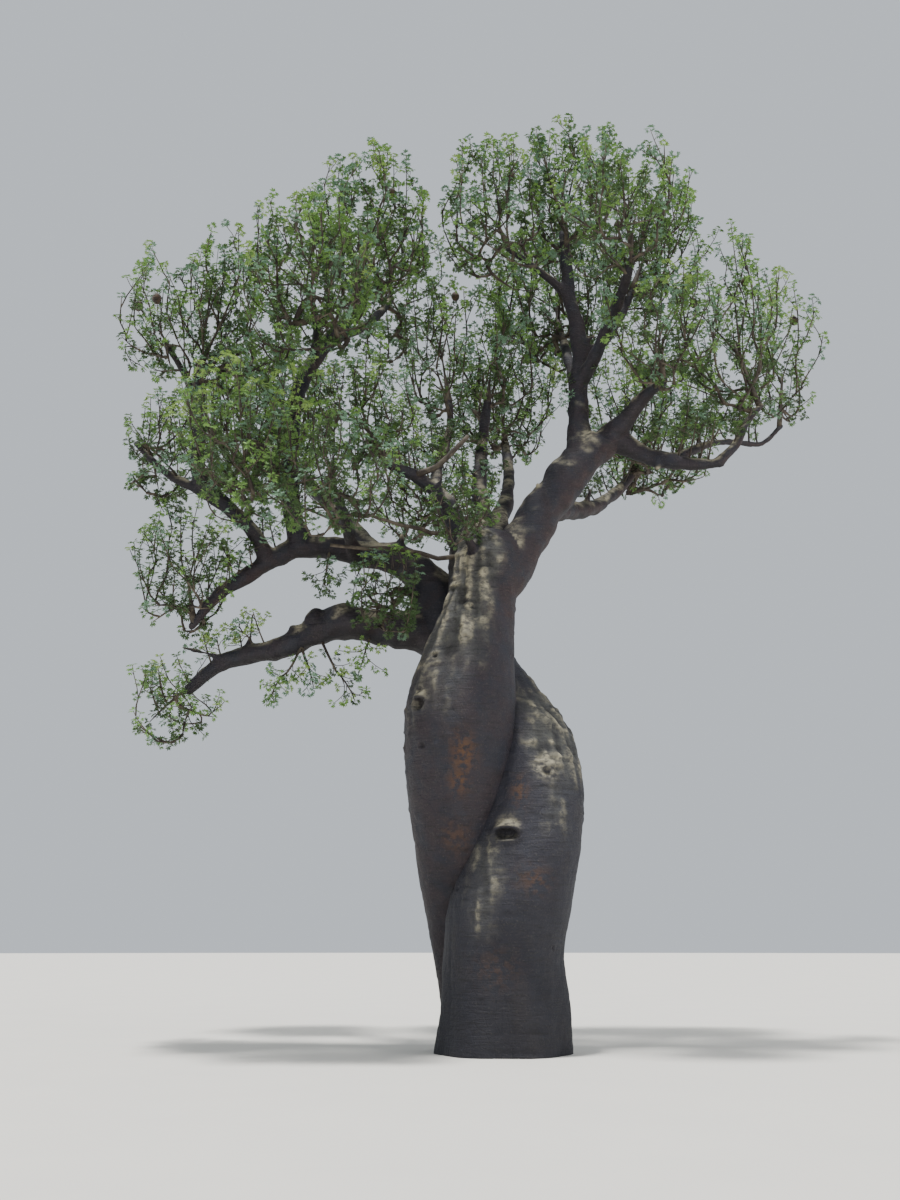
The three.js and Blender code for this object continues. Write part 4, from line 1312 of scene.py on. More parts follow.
def bark_relief(trunk, corners, settings):
    """How far each corner of the skin moves out: folds, wrinkle rings, lumps, pits and hollows."""
    number, _, radius = nearest_limb(corners / MM, limbs_of(trunk))
    radius = radius * MM
    on_stem = number == 0
    flutes = TRUNKS[trunk]["flutes"]
    angle = trunk_turn(trunk, corners)
    fade = np.exp(-np.maximum(corners[:, 2], 0) / (flutes["reach"] * MM))
    flute = flutes["depth"] * fade * np.cos(flutes["count"] * angle + flutes["phase"]) * radius
    broad, folds, rough, lumps, small_lumps = (
        HEIGHTS[name] * layer(corners, name)
        for name in ("broad", "folds", "rough", "lumps", "small_lumps")
    )
    wrinkle = layer(corners, "rings") + RINGS["fine"] * layer(corners, "fine_rings")
    where = RINGS["usual"] + RINGS["patchy"] * layer(corners, "ringed")
    rings = -settings.wrinkle * np.clip(wrinkle - RINGS["from"], 0, 1) * np.clip(where, 0, 1)
    seams = np.clip(layer(corners, "seams") - SEAMS_FROM, 0, 1)
    seams = -HEIGHTS["seams"] * settings.wrinkle * seams
    ropes = settings.rope * sunlit_share(trunk, corners, angle) * rope_relief(corners)
    lumps += small_lumps
    fade = LUMPED["fade"] * ease(radius, LUMPED["fade_from"], LUMPED["fade_to"])
    lumps *= np.minimum(radius, LUMPED["thickest"]) * (1 - fade)
    on_trunk_move = flute + (broad + folds) + rings + seams + ropes
    move = rough + np.where(on_stem, on_trunk_move, lumps + HEIGHTS["limb_rings"] * rings)
    for z, turn, size, depth in PITS[trunk]:
        away = away_from(corners, on_trunk(trunk, z, turn)[0], size, PIT_STRETCH)
        move -= depth * MM * np.exp(-(away**2))
        rim = ((away - PIT_RIM["at"]) / PIT_RIM["width"]) ** 2
        move += PIT_RIM["height"] * depth * MM * np.exp(-rim)
    for point, size, height in warts(trunk):
        move += height * MM * np.exp(-(away_from(corners, point, size) ** 2))
    return move


def warts(trunk):
    """Small nodules of the bark, thickest high on the trunk."""
    draw = seeded(len(trunk) * WARTS["seed"])
    top = TRUNKS[trunk]["dome"]["from"]
    spots = []
    for _ in range(WARTS["count"]):
        z = top * (1 - WARTS["down_to"] * draw() ** 1.3)
        point, _ = on_trunk(trunk, z, 360 * draw())
        spots.append((point, WARTS["size"] * (0.7 + 0.6 * draw()), WARTS["height"] * (0.5 + draw())))
    return spots


def finish_bark(trunk, skin, settings):
    """Refines the skin near its marks, presses the relief into it and cuts it flat at the ground."""
    shell = bmesh.new()
    shell.from_mesh(skin)
    spots = [on_trunk(trunk, z, turn)[0] * MM for z, turn, *_ in PITS[trunk]]
    spots += [on_trunk(trunk, k["z"], k["angle"])[0] * MM for k in (*KNOBS, SCAR) if k["trunk"] == trunk]
    for _ in range(SMOOTHING["rounds"]):
        bmesh.ops.smooth_vert(
            shell, verts=shell.verts, factor=SMOOTHING["factor"],
            use_axis_x=True, use_axis_y=True, use_axis_z=True,
        )
    middles = np.array([edge.verts[0].co for edge in shell.edges])
    close = np.zeros(len(middles), bool)
    for spot in spots:
        close |= np.linalg.norm(middles - spot, axis=1) < settings.mark_reach
    shell.edges.ensure_lookup_table()
    near = [shell.edges[i] for i in np.nonzero(close)[0]]
    bmesh.ops.subdivide_edges(shell, edges=near, cuts=1, use_grid_fill=True)
    shell.to_mesh(skin)
    corners, normals = mesh_arrays(skin)
    moved = corners + normals * bark_relief(trunk, corners, settings)[:, None]
    for vert, co in zip(shell.verts, moved):
        vert.co = co
    cut = bmesh.ops.bisect_plane(
        shell, geom=[*shell.verts, *shell.edges, *shell.faces], plane_co=(0, 0, 0),
        plane_no=(0, 0, -1), clear_outer=True,
    )["geom_cut"]
    rim = [part for part in cut if isinstance(part, bmesh.types.BMEdge)]
    cap = bmesh.ops.contextual_create(shell, geom=rim)["faces"]
    bmesh.ops.triangulate(shell, faces=cap)
    bmesh.ops.recalc_face_normals(shell, faces=shell.faces)
    for face in shell.faces:
        face.smooth = any(vert.co.z > GROUND for vert in face.verts)
    shell.to_mesh(skin)
    shell.free()


def bark_masks(trunk, skin):
    """Where the bark lies in painted sunlight, is pale, rust-stained, brown or dark, as attributes of the
    skin. Much of the pale is painted highlight and the dark is painted shade.
    """
    corners, normals = mesh_arrays(skin)
    number, _, _ = nearest_limb(corners / MM, limbs_of(trunk))
    on_stem = number == 0
    ropes = rope_relief(corners)
    # Painted sunlight: the share of each corner in the sunlit patches
    sunlit = sunlit_share(trunk, corners, trunk_turn(trunk, corners)) * on_stem
    # Painted highlights: on the boughs, lighter where the faces look up; on the trunks, on the rope
    # crests in the painted sunlight, broken into flecks
    tops = TOP_HIGHLIGHT * ease(normals[:, 2] + 0.55 * layer(corners, "tops"), 0.3, 0.9)
    highlight_breakup = 0.45 + 0.55 * ease(layer(corners, "highlight_flecks"), -0.35, 0.25)
    pale = np.where(on_stem, sunlit * ease(ropes, -0.15, 0.75) * highlight_breakup, tops)
    # Painted highlight on the upper side of each knob and of the scar's rim
    for knob in (*KNOBS, SCAR):
        if knob["trunk"] == trunk:
            point, out = on_trunk(trunk, knob["z"], knob["angle"])
            away = away_from(corners, point + out * LIP_OUT, knob["radius"])
            lip = np.exp(-((away / LIP_REACH["knob"]) ** 4)) * ease(normals[:, 2], -0.1, 0.6)
            pale = np.maximum(pale, knob.get("paleness", LIP_PALENESS) * lip)
    for name, share, way, length, radius in STUBS:
        if stem_of(name) == trunk:
            away = away_from(corners, stub_ends(name, share, way, length)[1], radius)
            lip = np.exp(-((away / LIP_REACH["stub"]) ** 4))
            pale = np.maximum(pale, LIP_PALENESS * lip)
    rust = np.zeros(len(corners))
    for name, z, turn, wide, tall, strength in RUST_SPOTS:
        if name == trunk:
            point, _ = on_trunk(trunk, z, turn)
            away = (corners - point * MM) / (wide * MM, wide * MM, tall * MM)
            rust = np.maximum(rust, strength * np.exp(-(away**2).sum(1)))
    # Painted shade: in the valleys between the ropes, in the pits, on faces that look down and towards
    # the foot of the trunks
    dark = PAINTED_SHADE["between_ropes"] * sunlit * ease(-ropes, 0.15, 0.8)
    for z, turn, size, depth in PITS[trunk]:
        away = away_from(corners, on_trunk(trunk, z, turn)[0], size)
        shade = np.exp(-((away / PIT_SHADE["reach"]) ** 2))
        dark = np.maximum(dark, min(depth / PIT_SHADE["depth"], 1) * shade)
    dark = np.maximum(dark, PAINTED_SHADE["below"] * ease(-normals[:, 2], 0.35, 1.0))
    dark = np.maximum(dark, PAINTED_SHADE["foot"] * on_stem * ease(-corners[:, 2], -2.8, -0.2))
    right = ease(normals[:, 0] - 0.6 * normals[:, 2], 0.1, 0.9) * (corners[:, 2] > BROWN_FROM)
    brown = np.where(on_stem, BROWN_SHARE[trunk], BROWN_SHARE["boughs"])
    brown = brown + BROWN_SHARE["right_sides"] * right
    masks = {"sunlit": sunlit, "pale": pale, "rust": rust, "dark": dark, "brown": brown}
    for name, values in masks.items():
        mask = skin.attributes.new(name, "FLOAT", "POINT")
        mask.data.foreach_set("value", np.clip(values, 0, 1).astype(np.float32))


# Twigs, leaves and fruit

def twig_tubes(crown, settings):
    """The twigs of some masses as one set of corners and triangles, in metres."""
    kinds = {}
    for mass, shoots, tufts in crown:
        limb_end = limb_table()[mass["bough"]]["radii"][-1]
        for shoot in shoots:
            curve = shoot["curve"]
            rings = len(curve)
            thick = settings.tip_radius * shoot["load"] ** settings.thicken
            thin = settings.tip_radius
            radii = thin + (thick - thin) * (1 - np.linspace(0, 1, rings)) ** TAPER
            sides = next(sides for least, sides in TWIG_SIDES if thick > least)
            if shoot["level"] == BARE:
                radii = np.linspace(thick, BARE_TIP * thick, rings)
                sides = THICK_SIDES
            if shoot["level"] == STEM_LEVEL:
                swell = np.clip(1 - np.linspace(0, 1, rings) / 0.5, 0, 1)
                radii = np.maximum(radii, thick * STEM_TIP)
                radii = radii + (STEM_FOOT * limb_end * MM - radii) * swell
                sides = THICK_SIDES
            paths, widths = kinds.setdefault((rings, sides), ([], []))
            paths.append(curve * MM)
            widths.append(radii)
        paths, widths = kinds.setdefault((2, 3), ([], []))
        for root, tip, *_ in tufts:
            if root is not tip:
                paths.append(np.array((root, tip)) * MM)
                widths.append([settings.tip_radius * share for share in SPUR_SHARES])
    return gathered([
        tubes(np.array(paths), np.array(widths), sides)
        for (_, sides), (paths, widths) in kinds.items() if paths
    ])


def leaf_pattern(length, width):
    """A palmate leaf in its own frame, its main leaflets folded along the rib: corners, triangles."""
    corners = [(0.0, 0.0, 0.0)]
    triangles = []
    for degrees, share in LEAFLETS:
        turn = math.radians(degrees)
        for reach, aside, rise in BLADE:
            ahead, across = reach * share * length, aside * share * width
            corners.append((
                ahead * math.cos(turn) - across * math.sin(turn),
                ahead * math.sin(turn) + across * math.cos(turn),
                rise * length,
            ))
        k = len(corners)
        triangles.append((0, k - 3, k - 2))
        if share > SMALL_LEAFLET:
            triangles.append((0, k - 2, k - 1))
        else:
            corners.pop()
    triangles.append((0, len(corners), len(corners) + 1))
    return np.array(corners), np.array(triangles)


def leaves_on(tips, ways, settings, draw):
    """Palmate leaves on stalks round the tip of each spur: corners and triangles, in metres."""
    per, count = settings.per_tuft, len(tips)
    steady = np.where(np.abs(ways[:, 2:]) > STEEP, (1.0, 0.0, 0.0), (0.0, 0.0, 1.0))
    side = unit(np.cross(ways, steady))
    across = np.cross(ways, side)
    turn = draw.random((count, 1)) * 2 * math.pi + np.arange(per) * 2 * math.pi / per
    turn = (turn + draw.normal(0, LEAF_TURN_SPREAD, (count, per)))[..., None]
    lean = np.radians(draw.uniform(*LEAF_LEAN, (count, per)))[..., None]
    size = draw.uniform(*LEAF_SIZE, (count, per))[..., None]
    out = side[:, None] * np.cos(turn) + across[:, None] * np.sin(turn)
    stalk = ways[:, None] * np.cos(lean) + out * np.sin(lean)
    hearts = tips[:, None] + stalk * settings.stalk * size
    ahead = unit(stalk + 0.5 * out - settings.droop * UP)
    face = 0.5 * ways[:, None] + 0.7 * UP + draw.normal(0, LEAF_FACE_SPREAD, (count, per, 3))
    face = unit(face - ahead * (face * ahead).sum(-1, keepdims=True))
    aside = np.cross(face, ahead)
    pattern, triangles = leaf_pattern(settings.leaflet_length, settings.leaflet_width)
    blades = hearts[:, :, None] + size[..., None] * (
        pattern[:, 0, None] * ahead[:, :, None]
        + pattern[:, 1, None] * aside[:, :, None]
        + pattern[:, 2, None] * face[:, :, None]
    )
    feet = np.stack([tips[:, None] + aside * w * HALF_STALK for w in (-1, 1)], 2)
    corners = np.concatenate((blades, feet), 2)
    starts = np.arange(count * per)[:, None, None] * corners.shape[2]
    return corners.reshape(-1, 3), (triangles[None] + starts).reshape(-1, 3)


def deal_tints(crown, draw):
    """The tufts of each tint, dealt out by spray: lighter near the skin and the top of a mass as painted
    light, darker inside as painted shade.
    """
    dealt = {tint: ([], []) for tint in TINTS}
    for mass, shoots, tufts in crown:
        middle, half = np.array(mass["middle"]), np.array(mass["half"])
        tint_of = []
        for shoot in shoots:
            place = (shoot["curve"][-1] - middle) / half
            outward, upward = min(np.linalg.norm(place), 1), max(-1, min(place[2], 1))
            light = LIGHT["outward"] * outward + LIGHT["upward"] * upward
            light = light + LIGHT["chance"] * draw.random() - SHADED.get(mass["bough"], 0)
            tint = next(name for name, limit in TINT_LIMITS if light < limit)
            grey = draw.random() < GREY_SHARE
            tint_of.append("grey" if grey and tint != "deep" else tint)
        for _, tip, way, number in tufts:
            tips, ways = dealt[tint_of[number]]
            tips.append(tip * MM)
            ways.append(way)
    return dealt


def fruit_places():
    """Where the fruits sit: past the ends of the highest twigs, as in the source, in metres."""
    places = []
    for i, mass in enumerate(MASSES):
        twigs = main_twigs(mass, seeded(FIRST_SEED + i))
        twigs.sort(key=lambda twig: -twig["end"][2])
        for twig in twigs[: mass.get("fruit", 0)]:
            places.append((twig["end"] * MM, twig["ahead"]))
    return places


def draw_fruit(shell, end, ahead, radius, seed):
    """One hanging fruit with a short neck, a little lumpy."""
    middle = end + ahead * radius * FRUIT["set_off"]
    place = Matrix.Translation(middle) @ Matrix.Diagonal((1, 1, FRUIT["stretch"], 1))
    ball = bmesh.ops.create_icosphere(shell, subdivisions=3, radius=radius, matrix=place)["verts"]
    points = np.array([vert.co for vert in ball])
    for vert, lump, point in zip(ball, grain(points, FRUIT["lump_size"], seed), points):
        vert.co = Vector(point + unit(point - middle) * lump * radius * FRUIT["lumps"])
    neck = {key: radius * share for key, share in NECK.items()}
    place = Matrix.Translation(middle + UP * radius * FRUIT["neck_at"])
    bmesh.ops.create_cone(shell, cap_ends=True, segments=8, matrix=place, **neck)


# Materials

class Finish:
    """Short ways to add the nodes of one material, all on Object coordinates."""

    def __init__(self, name, roughness):
        self.material = bpy.data.materials.new(name)
        self.material.use_nodes = True
        self.nodes = self.material.node_tree.nodes
        self.shader = self.nodes["Principled BSDF"]
        self.shader.inputs["Roughness"].default_value = roughness
        self.place = self.nodes.new("ShaderNodeTexCoord").outputs["Object"]

    def link(self, start, end):
        self.material.node_tree.links.new(start, end)

    def texture(self, kind, scale, stretch):
        mapping = self.nodes.new("ShaderNodeMapping")
        mapping.inputs["Scale"].default_value = stretch
        texture = self.nodes.new(kind)
        texture.inputs["Scale"].default_value = scale
        self.link(self.place, mapping.inputs["Vector"])
        self.link(mapping.outputs["Vector"], texture.inputs["Vector"])
        return texture

    def noise(self, scale, stretch=(1, 1, 1), detail=4.0, rough=0.55):
        texture = self.texture("ShaderNodeTexNoise", scale, stretch)
        texture.inputs["Detail"].default_value = detail
        texture.inputs["Roughness"].default_value = rough
        return texture.outputs["Fac"]

    def cracks(self, scale, stretch=(1, 1, 1)):
        texture = self.texture("ShaderNodeTexVoronoi", scale, stretch)
        texture.feature = "DISTANCE_TO_EDGE"
        return texture.outputs["Distance"]

    def mask(self, name):
        attribute = self.nodes.new("ShaderNodeAttribute")
        attribute.attribute_name = name
        return attribute.outputs["Fac"]

    def band(self, value, low, high, bottom=0.0, top=1.0):
        steps = self.nodes.new("ShaderNodeMapRange")
        steps.interpolation_type = "SMOOTHSTEP"
        ends = {"From Min": low, "From Max": high, "To Min": bottom, "To Max": top}
        for socket, number in ends.items():
            steps.inputs[socket].default_value = number
        self.link(value, steps.inputs["Value"])
        return steps.outputs["Result"]

    def operate(self, kind, first, second):
        node = self.nodes.new("ShaderNodeMath")
        node.operation = kind
        for socket, value in zip(node.inputs, (first, second)):
            if isinstance(value, (int, float)):
                socket.default_value = value
            else:
                self.link(value, socket)
        return node.outputs[0]

    def times(self, first, second):
        return self.operate("MULTIPLY", first, second)

    def mix(self, share, under, over):
        node = self.nodes.new("ShaderNodeMix")
        node.data_type = "RGBA"
        node.clamp_factor = True
        sockets = {s.identifier: s for s in node.inputs}
        for key, value in (("Factor_Float", share), ("A_Color", under), ("B_Color", over)):
            if isinstance(value, bpy.types.NodeSocket):
                self.link(value, sockets[key])
            else:
                sockets[key].default_value = (*value, 1)
        return next(s for s in node.outputs if s.identifier == "Result_Color")

    def shade(self, name, value):
        self.link(value, self.shader.inputs[name])

    def coat(self, colour, coats):
        """Coats of colour over the first one, each by its share."""
        for share, over in coats:
            colour = self.mix(share, colour, over)
        self.shade("Base Color", colour)

    def bumps(self, *rows):
        """Bumps on top of each other: height, distance and strength."""
        normal = None
        for height, distance, strength in rows:
            node = self.nodes.new("ShaderNodeBump")
            node.inputs["Distance"].default_value = distance
            node.inputs["Strength"].default_value = strength
            self.link(height, node.inputs["Height"])
            if normal is not None:
                self.link(normal, node.inputs["Normal"])
            normal = node.outputs["Normal"]
        self.shade("Normal", normal)


def bark_finish(settings):
    """Violet-grey skin with fine rings, mottling, painted sunlight on the ropes, painted highlights, rust
    stains and dark pits of painted shade.
    """
    finish = Finish("baobab_bark", 0.82)
    mottle = finish.band(finish.noise(1.6, (1, 1, 0.7), 6), 0.36, 0.64)
    warm = finish.band(finish.noise(2.7, (1, 1, 0.4), 5), 0.5, 0.72)
    patches = finish.band(finish.noise(3.1, detail=5), 0.3, 0.62)
    streaks = finish.noise(7, (1.3, 1.3, 1.9), 6, 0.65)
    lines = finish.noise(6, (0.5, 0.5, 5.5), 5, 0.6)
    speckle = finish.noise(38, detail=3, rough=0.7)
    stains = finish.band(finish.noise(9, detail=6), 0.42, 0.58)
    # Painted highlights on crests, tops and lips, and the pale stub ends, broken by the streaks
    highlight_flecks = finish.times(finish.mask("pale"), finish.band(streaks, 0.38, 0.58, 0.2, 1))
    dark = finish.mask("dark")
    coats = (
        (mottle, settings.violet),
        (finish.times(warm, 0.5), settings.warm),
        (finish.times(finish.mask("brown"), patches), settings.brown),
        # Painted sunlight on the ropy patches
        (finish.times(finish.mask("sunlit"), finish.band(streaks, 0.3, 0.6, 0.35, 0.9)), settings.sunlit),
        (finish.band(lines, 0.5, 0.7, 0, 0.6), settings.dark),
        (finish.band(speckle, 0.55, 0.75, 0, 0.1), settings.pale),
        (finish.band(speckle, 0.46, 0.28, 0, 0.6), settings.dark),
        (finish.times(finish.times(finish.mask("rust"), stains), 0.85), settings.rust),
        (finish.times(highlight_flecks, 0.9), settings.pale),
        # Painted shade in pits and hollows, between the ropes, under overhangs and towards the foot
        (finish.times(dark, 0.9), settings.dark),
    )
    finish.coat(settings.grey, coats)
    finish.shade("Roughness", finish.band(finish.operate("ADD", highlight_flecks, dark), 0, 1, 0.72, 0.9))
    cracks = finish.band(finish.cracks(7, (1, 1, 0.6)), 0, 0.09)
    finish.bumps((lines, 0.03, 0.6), (cracks, 0.014, 0.25), (streaks, 0.03, 0.5), (speckle, 0.01, 0.7))
    return finish.material


def twig_finish(settings):
    """Grey-brown twigs, paler in patches."""
    finish = Finish("baobab_twig", 0.8)
    patches = finish.band(finish.noise(5, detail=4), 0.42, 0.66)
    speckle = finish.noise(60, detail=2)
    spots = finish.band(speckle, 0.5, 0.8, 0, 0.4)
    finish.coat(settings.dark, ((patches, settings.pale), (spots, settings.pale)))
    finish.bumps((speckle, 0.003, 0.5))
    return finish.material


def leaf_finish(tint, colour):
    """A leaf's own plain tint, with a soft low gloss."""
    finish = Finish(f"baobab_leaf_{tint}", 0.52)
    finish.shader.inputs["Specular IOR Level"].default_value = 0.35
    finish.shader.inputs["Base Color"].default_value = (*colour, 1)
    return finish.material


def fruit_finish(settings):
    """A brown velvet rind with darker blotches."""
    finish = Finish("baobab_fruit", 0.88)
    blotch = finish.band(finish.noise(16, detail=4), 0.4, 0.62)
    finish.coat(settings.light, ((blotch, settings.dark),))
    finish.bumps((finish.noise(220, detail=2), 0.002, 0.6))
    finish.shader.inputs["Sheen Weight"].default_value = 0.3
    return finish.material


def floor_finish(settings):
    """A plain pale floor, a touch uneven."""
    finish = Finish("studio_floor", 0.9)
    patches = finish.band(finish.noise(0.6, detail=3), 0.3, 0.7, 0, 0.12)
    finish.coat(settings.floor, ((patches, FLOOR_PATCH),))
    return finish.material


# Settings

def colour_property(name, description, colour):
    """A colour setting, given as sRGB in hexadecimal and kept as linear."""
    channels = [int(colour[i:i + 2], 16) / 255 for i in (0, 2, 4)]
    linear = [c / 12.92 if c <= 0.04045 else ((c + 0.055) / 1.055) ** 2.4 for c in channels]
    return FloatVectorProperty(
        name=name, description=description, subtype="COLOR", size=3, min=0, max=1, default=linear
    )


def length_property(name, description, default):
    return FloatProperty(
        name=name, description=description, unit="LENGTH", subtype="DISTANCE", min=0,
        default=default, precision=4,
    )


def share_property(name, description, default):
    return FloatProperty(
        name=name, description=description, default=default, min=0, max=1, subtype="FACTOR"
    )


class BarkSettings(bpy.types.PropertyGroup):
    """Sizes and colours of the trunks' and boughs' bark."""

    skin_step: length_property("Skin step", "Size of the faces of the bark", 0.034)
    wrinkle: length_property("Wrinkle", "Depth of the rings that run round the trunks", 0.016)
    rope: length_property("Rope", "Height of the ropes of bark in the worn areas", 0.042)
    mark_reach: length_property("Mark reach", "How far finer faces reach round each mark", 0.28)
    collar: share_property("Collar", "Swelling of a bough where it leaves its parent", 0.16)
    gnarl: share_property("Gnarl", "How far a bough wanders, as a share of its radius", 0.3)
    # The bark's own violet-grey, made darker and bluer as painted shade over the whole bark
    grey: colour_property("Grey", "The bark's main grey", "22232e")
    violet: colour_property("Violet", "The bark's darker violet-grey", "191a27")
    warm: colour_property("Warm", "Warm beige-grey patches", "2b272a")
    # Olive-grey of the painted sunlight on the ropy patches
    sunlit: colour_property("Sunlit", "Olive-grey of the worn, ropy areas", "4b4b47")
    # Pale: painted highlights on crests, tops and lips, pale specks and the stub ends
    pale: colour_property("Pale", "Pale crests and lit tops", "aca48b")
    # Dark: lines and specks, and painted shade in pits and hollows
    dark: colour_property("Dark", "Lines, pits and hollows", "100f12")
    rust: colour_property("Rust", "Rust-coloured stains", "5c3d22")
    brown: colour_property("Brown", "Red-brown bark of the boughs", "302022")


class TwigSettings(bpy.types.PropertyGroup):
    """How the twigs fork, thicken and look."""

    density: FloatProperty(
        name="Density", description="Fine shoots in each cubic metre of a foliage mass",
        default=20, min=1, max=40,
    )
    bud_step: length_property("Bud step", "Distance between buds along a shoot", 0.11)
    tuft_step: length_property("Tuft step", "Distance between tufts of leaves", 0.17)
    tip_radius: length_property("Tip radius", "Radius of a twig at its tip", 0.006)
    thicken: share_property(
        "Thicken", "Power by which a twig thickens with the tufts it carries", 0.42
    )
    dark: colour_property("Dark", "Dark grey-brown of the twigs", "322a25")
    pale: colour_property("Pale", "Paler patches of the twigs", "5c5347")


class LeafSettings(bpy.types.PropertyGroup):
    """Sizes and tints of the palmate leaves."""

    per_tuft: IntProperty(
        name="Leaves", description="Leaves in each tuft", default=6, min=1, max=9
    )
    leaflet_length: length_property("Leaflet length", "Length of the middle leaflet", 0.071)
    leaflet_width: length_property("Leaflet width", "Width of a leaflet", 0.027)
    stalk: length_property("Stalk", "Length of a leaf's stalk", 0.04)
    droop: share_property("Droop", "How far the leaves hang", 0.3)
    deep: colour_property("Deep", "Shaded leaves inside a mass", "405731")
    olive: colour_property("Olive", "Olive leaves", "5a7a3e")
    fresh: colour_property("Fresh", "Yellow-green leaves", "73984d")
    bright: colour_property("Bright", "Brightest leaves at the skin", "8eab5c")
    grey: colour_property("Grey", "Grey-green leaves", "6b8b70")


class FruitSettings(bpy.types.PropertyGroup):
    """Size and colours of the fruit."""

    radius: length_property("Radius", "Radius of a fruit across its middle", 0.075)
    light: colour_property("Light", "Brown rind", "4a382b")
    dark: colour_property("Dark", "Darker blotches of the rind", "261c16")


class StageSettings(bpy.types.PropertyGroup):
    """Floor, light and camera."""

    floor_radius: length_property("Floor radius", "Radius of the floor", 240.0)
    floor: colour_property("Floor", "Pale floor", "d9d5cc")
    sky: colour_property("Sky", "Soft light from all round", "dfe6ee")
    sky_strength: FloatProperty(
        name="Sky strength", description="Strength of the light from all round", default=0.85, min=0
    )
    sun_strength: FloatProperty(
        name="Sun strength", description="Strength of the main light", default=4.5, min=0
    )
    camera_distance: length_property("Camera distance", "How far in front the camera stands", 19.5)
    camera_aside: length_property("Camera aside", "How far left of the trunk it stands", 0.8)
    camera_height: length_property("Camera height", "Height of the camera", 1.55)
    camera_pitch: FloatProperty(
        name="Camera pitch", description="How far the camera looks up", subtype="ANGLE",
        unit="ROTATION", default=math.radians(15.54),
    )
    lens: FloatProperty(
        name="Lens", description="Focal length in millimetres on a 36 mm sensor",
        default=SENSOR * FOCAL_PIXELS / PHOTO_HEIGHT, min=1,
    )


# Operators

def bark_nodes(trunk):
    return [trunk, *(f"bough_{name}" for name in limbs_of(trunk)[1:])]


def foliage_nodes(trunks=tuple(TRUNKS)):
    return [f"foliage_{m['bough']}" for m in MASSES if stem_of(m["bough"]) in trunks]


class BAOBAB_OT_bark(bpy.types.Operator):
    """Covers both trunks and their boughs with folded, wrinkled and stained bark"""

    bl_idname = "baobab.bark"
    bl_label = "Bark"

    def execute(self, context):
        settings = context.scene.baobab_bark
        material = bark_finish(settings)
        for trunk, (name, slot) in BARK_PIECES.items():
            skin = bark_shell(trunk, settings)
            finish_bark(trunk, skin, settings)
            bark_masks(trunk, skin)
            add_piece(name, skin, material, bark_nodes(trunk))
        return {"FINISHED"}


class BAOBAB_OT_twigs(bpy.types.Operator):
    """Grows the stems, twigs and spurs of the foliage masses on from the boughs"""

    bl_idname = "baobab.twigs"
    bl_label = "Twigs"

    def execute(self, context):
        settings = context.scene.baobab_twigs
        material = twig_finish(settings)
        for trunk, name in TWIG_PIECES.items():
            crown = [row for row in crown_of(context) if stem_of(row[0]["bough"]) == trunk]
            mesh = joined_mesh(name, *twig_tubes(crown, settings), smooth=True)
            add_piece(name, mesh, material, foliage_nodes((trunk,)))
        return {"FINISHED"}


class BAOBAB_OT_leaves(bpy.types.Operator):
    """Puts sprays of palmate leaves on the twigs, one piece for each tint"""

    bl_idname = "baobab.leaves"
    bl_label = "Leaves"

    def execute(self, context):
        settings = context.scene.baobab_leaves
        draw = np.random.default_rng(LEAF_SEED)
        for tint, (tips, ways) in deal_tints(crown_of(context), draw).items():
            corners, triangles = leaves_on(np.array(tips), np.array(ways), settings, draw)
            mesh = joined_mesh(f"leaves_{tint}", corners, triangles, smooth=False)
            material = leaf_finish(tint, getattr(settings, tint))
            add_piece(f"leaves_{tint}", mesh, material, foliage_nodes())
        return {"FINISHED"}


class BAOBAB_OT_fruit(bpy.types.Operator):
    """Hangs the fruit from the highest twigs"""

    bl_idname = "baobab.fruit"
    bl_label = "Fruit"

    def execute(self, context):
        settings = context.scene.baobab_fruit
        shell = bmesh.new()
        for seed, (end, ahead) in enumerate(fruit_places()):
            draw_fruit(shell, end, ahead, settings.radius, seed)
        bmesh.ops.recalc_face_normals(shell, faces=shell.faces)
        for face in shell.faces:
            face.smooth = True
        mesh = poured(shell, "fruit")
        add_piece("fruit", mesh, fruit_finish(settings), foliage_nodes())
        return {"FINISHED"}


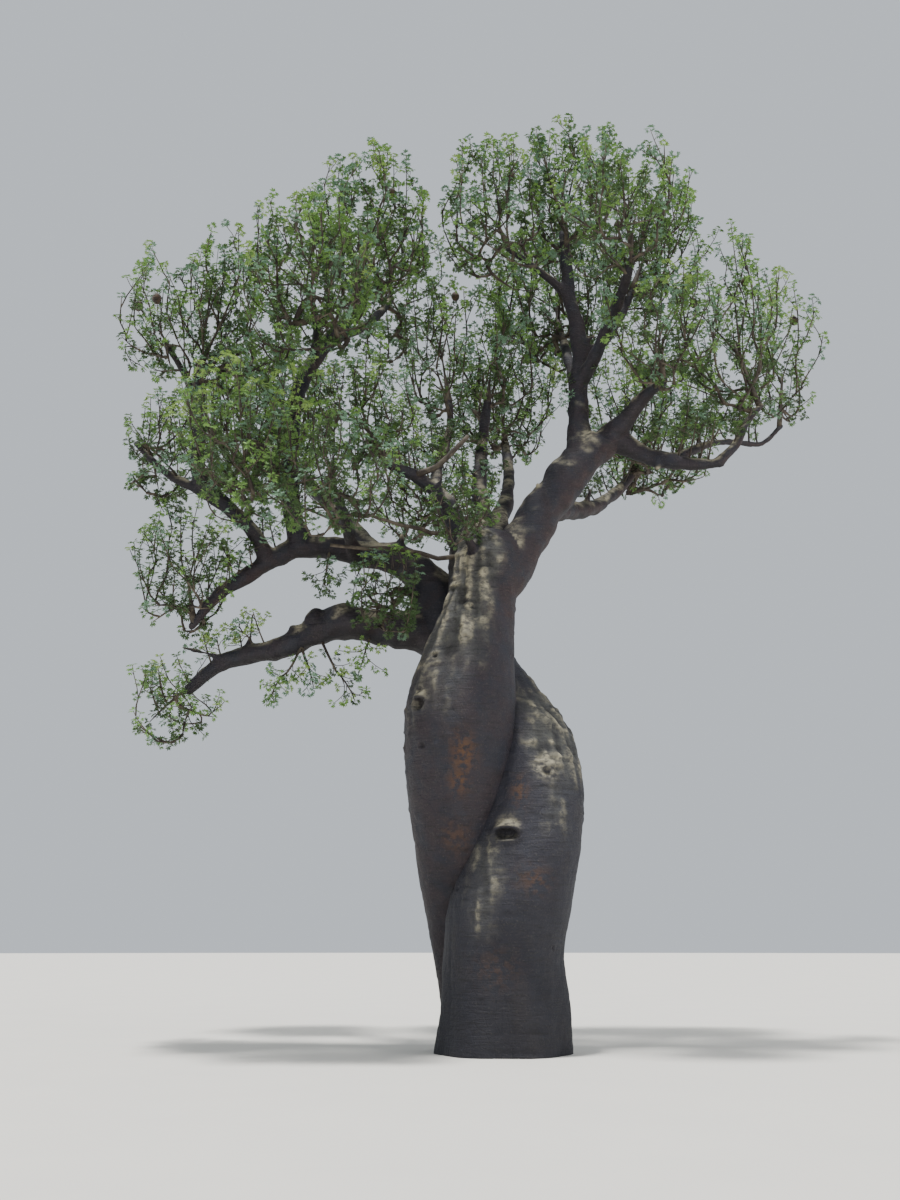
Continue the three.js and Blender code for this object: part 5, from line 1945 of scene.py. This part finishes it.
class BAOBAB_OT_stage(bpy.types.Operator):
    """Lays the floor and sets up the light and the camera"""

    bl_idname = "baobab.stage"
    bl_label = "Stage"

    def execute(self, context):
        scene = context.scene
        settings = scene.baobab_stage
        shell = bmesh.new()
        bmesh.ops.create_circle(shell, cap_ends=True, segments=96, radius=settings.floor_radius)
        floor = new_object("floor", poured(shell, "floor"))
        floor.data.materials.append(floor_finish(settings))

        world = bpy.data.worlds.new("soft_light")
        world.use_nodes = True
        background = world.node_tree.nodes["Background"]
        background.inputs["Color"].default_value = (*settings.sky, 1)
        background.inputs["Strength"].default_value = settings.sky_strength
        scene.world = world
        for name, strength, softness, tilt in LIGHTS:
            light = bpy.data.lights.new(name, "SUN")
            light.energy = strength * settings.sun_strength
            light.angle = math.radians(softness)
            new_object(name, light).rotation_euler = [math.radians(turn) for turn in tilt]

        lens = bpy.data.cameras.new("photo_camera")
        lens.sensor_fit = "AUTO"
        lens.sensor_width = SENSOR
        lens.lens = settings.lens
        lens.clip_end = 2 * settings.floor_radius
        camera = new_object("photo_camera", lens)
        camera.location = (-settings.camera_aside, -settings.camera_distance, settings.camera_height)
        camera.rotation_euler = (math.pi / 2 + settings.camera_pitch, 0, 0)
        scene.camera = camera
        return {"FINISHED"}


class BAOBAB_PT_panel(bpy.types.Panel):
    """Lists the pieces of the tree and their settings"""

    bl_idname = "BAOBAB_PT_panel"
    bl_label = "Baobab Tree"
    bl_space_type = "VIEW_3D"
    bl_region_type = "UI"
    bl_category = "Baobab"

    def draw(self, context):
        for operator, (key, group) in PIECES.items():
            box = self.layout.box()
            box.operator(operator.bl_idname)
            settings = getattr(context.scene, key)
            for name in group.__annotations__:
                box.prop(settings, name)


PIECES = {
    BAOBAB_OT_stage: ("baobab_stage", StageSettings),
    BAOBAB_OT_bark: ("baobab_bark", BarkSettings),
    BAOBAB_OT_twigs: ("baobab_twigs", TwigSettings),
    BAOBAB_OT_leaves: ("baobab_leaves", LeafSettings),
    BAOBAB_OT_fruit: ("baobab_fruit", FruitSettings),
}


def register():
    for operator, (key, group) in PIECES.items():
        bpy.utils.register_class(group)
        bpy.utils.register_class(operator)
        setattr(bpy.types.Scene, key, PointerProperty(type=group))
    bpy.utils.register_class(BAOBAB_PT_panel)


def unregister():
    bpy.utils.unregister_class(BAOBAB_PT_panel)
    for operator, (key, group) in reversed(PIECES.items()):
        delattr(bpy.types.Scene, key)
        bpy.utils.unregister_class(operator)
        bpy.utils.unregister_class(group)


def main():
    register()
    bpy.ops.baobab.stage()
    bpy.ops.baobab.bark()
    bpy.ops.baobab.twigs()
    bpy.ops.baobab.leaves()
    bpy.ops.baobab.fruit()


if __name__ == "__main__":
    main()
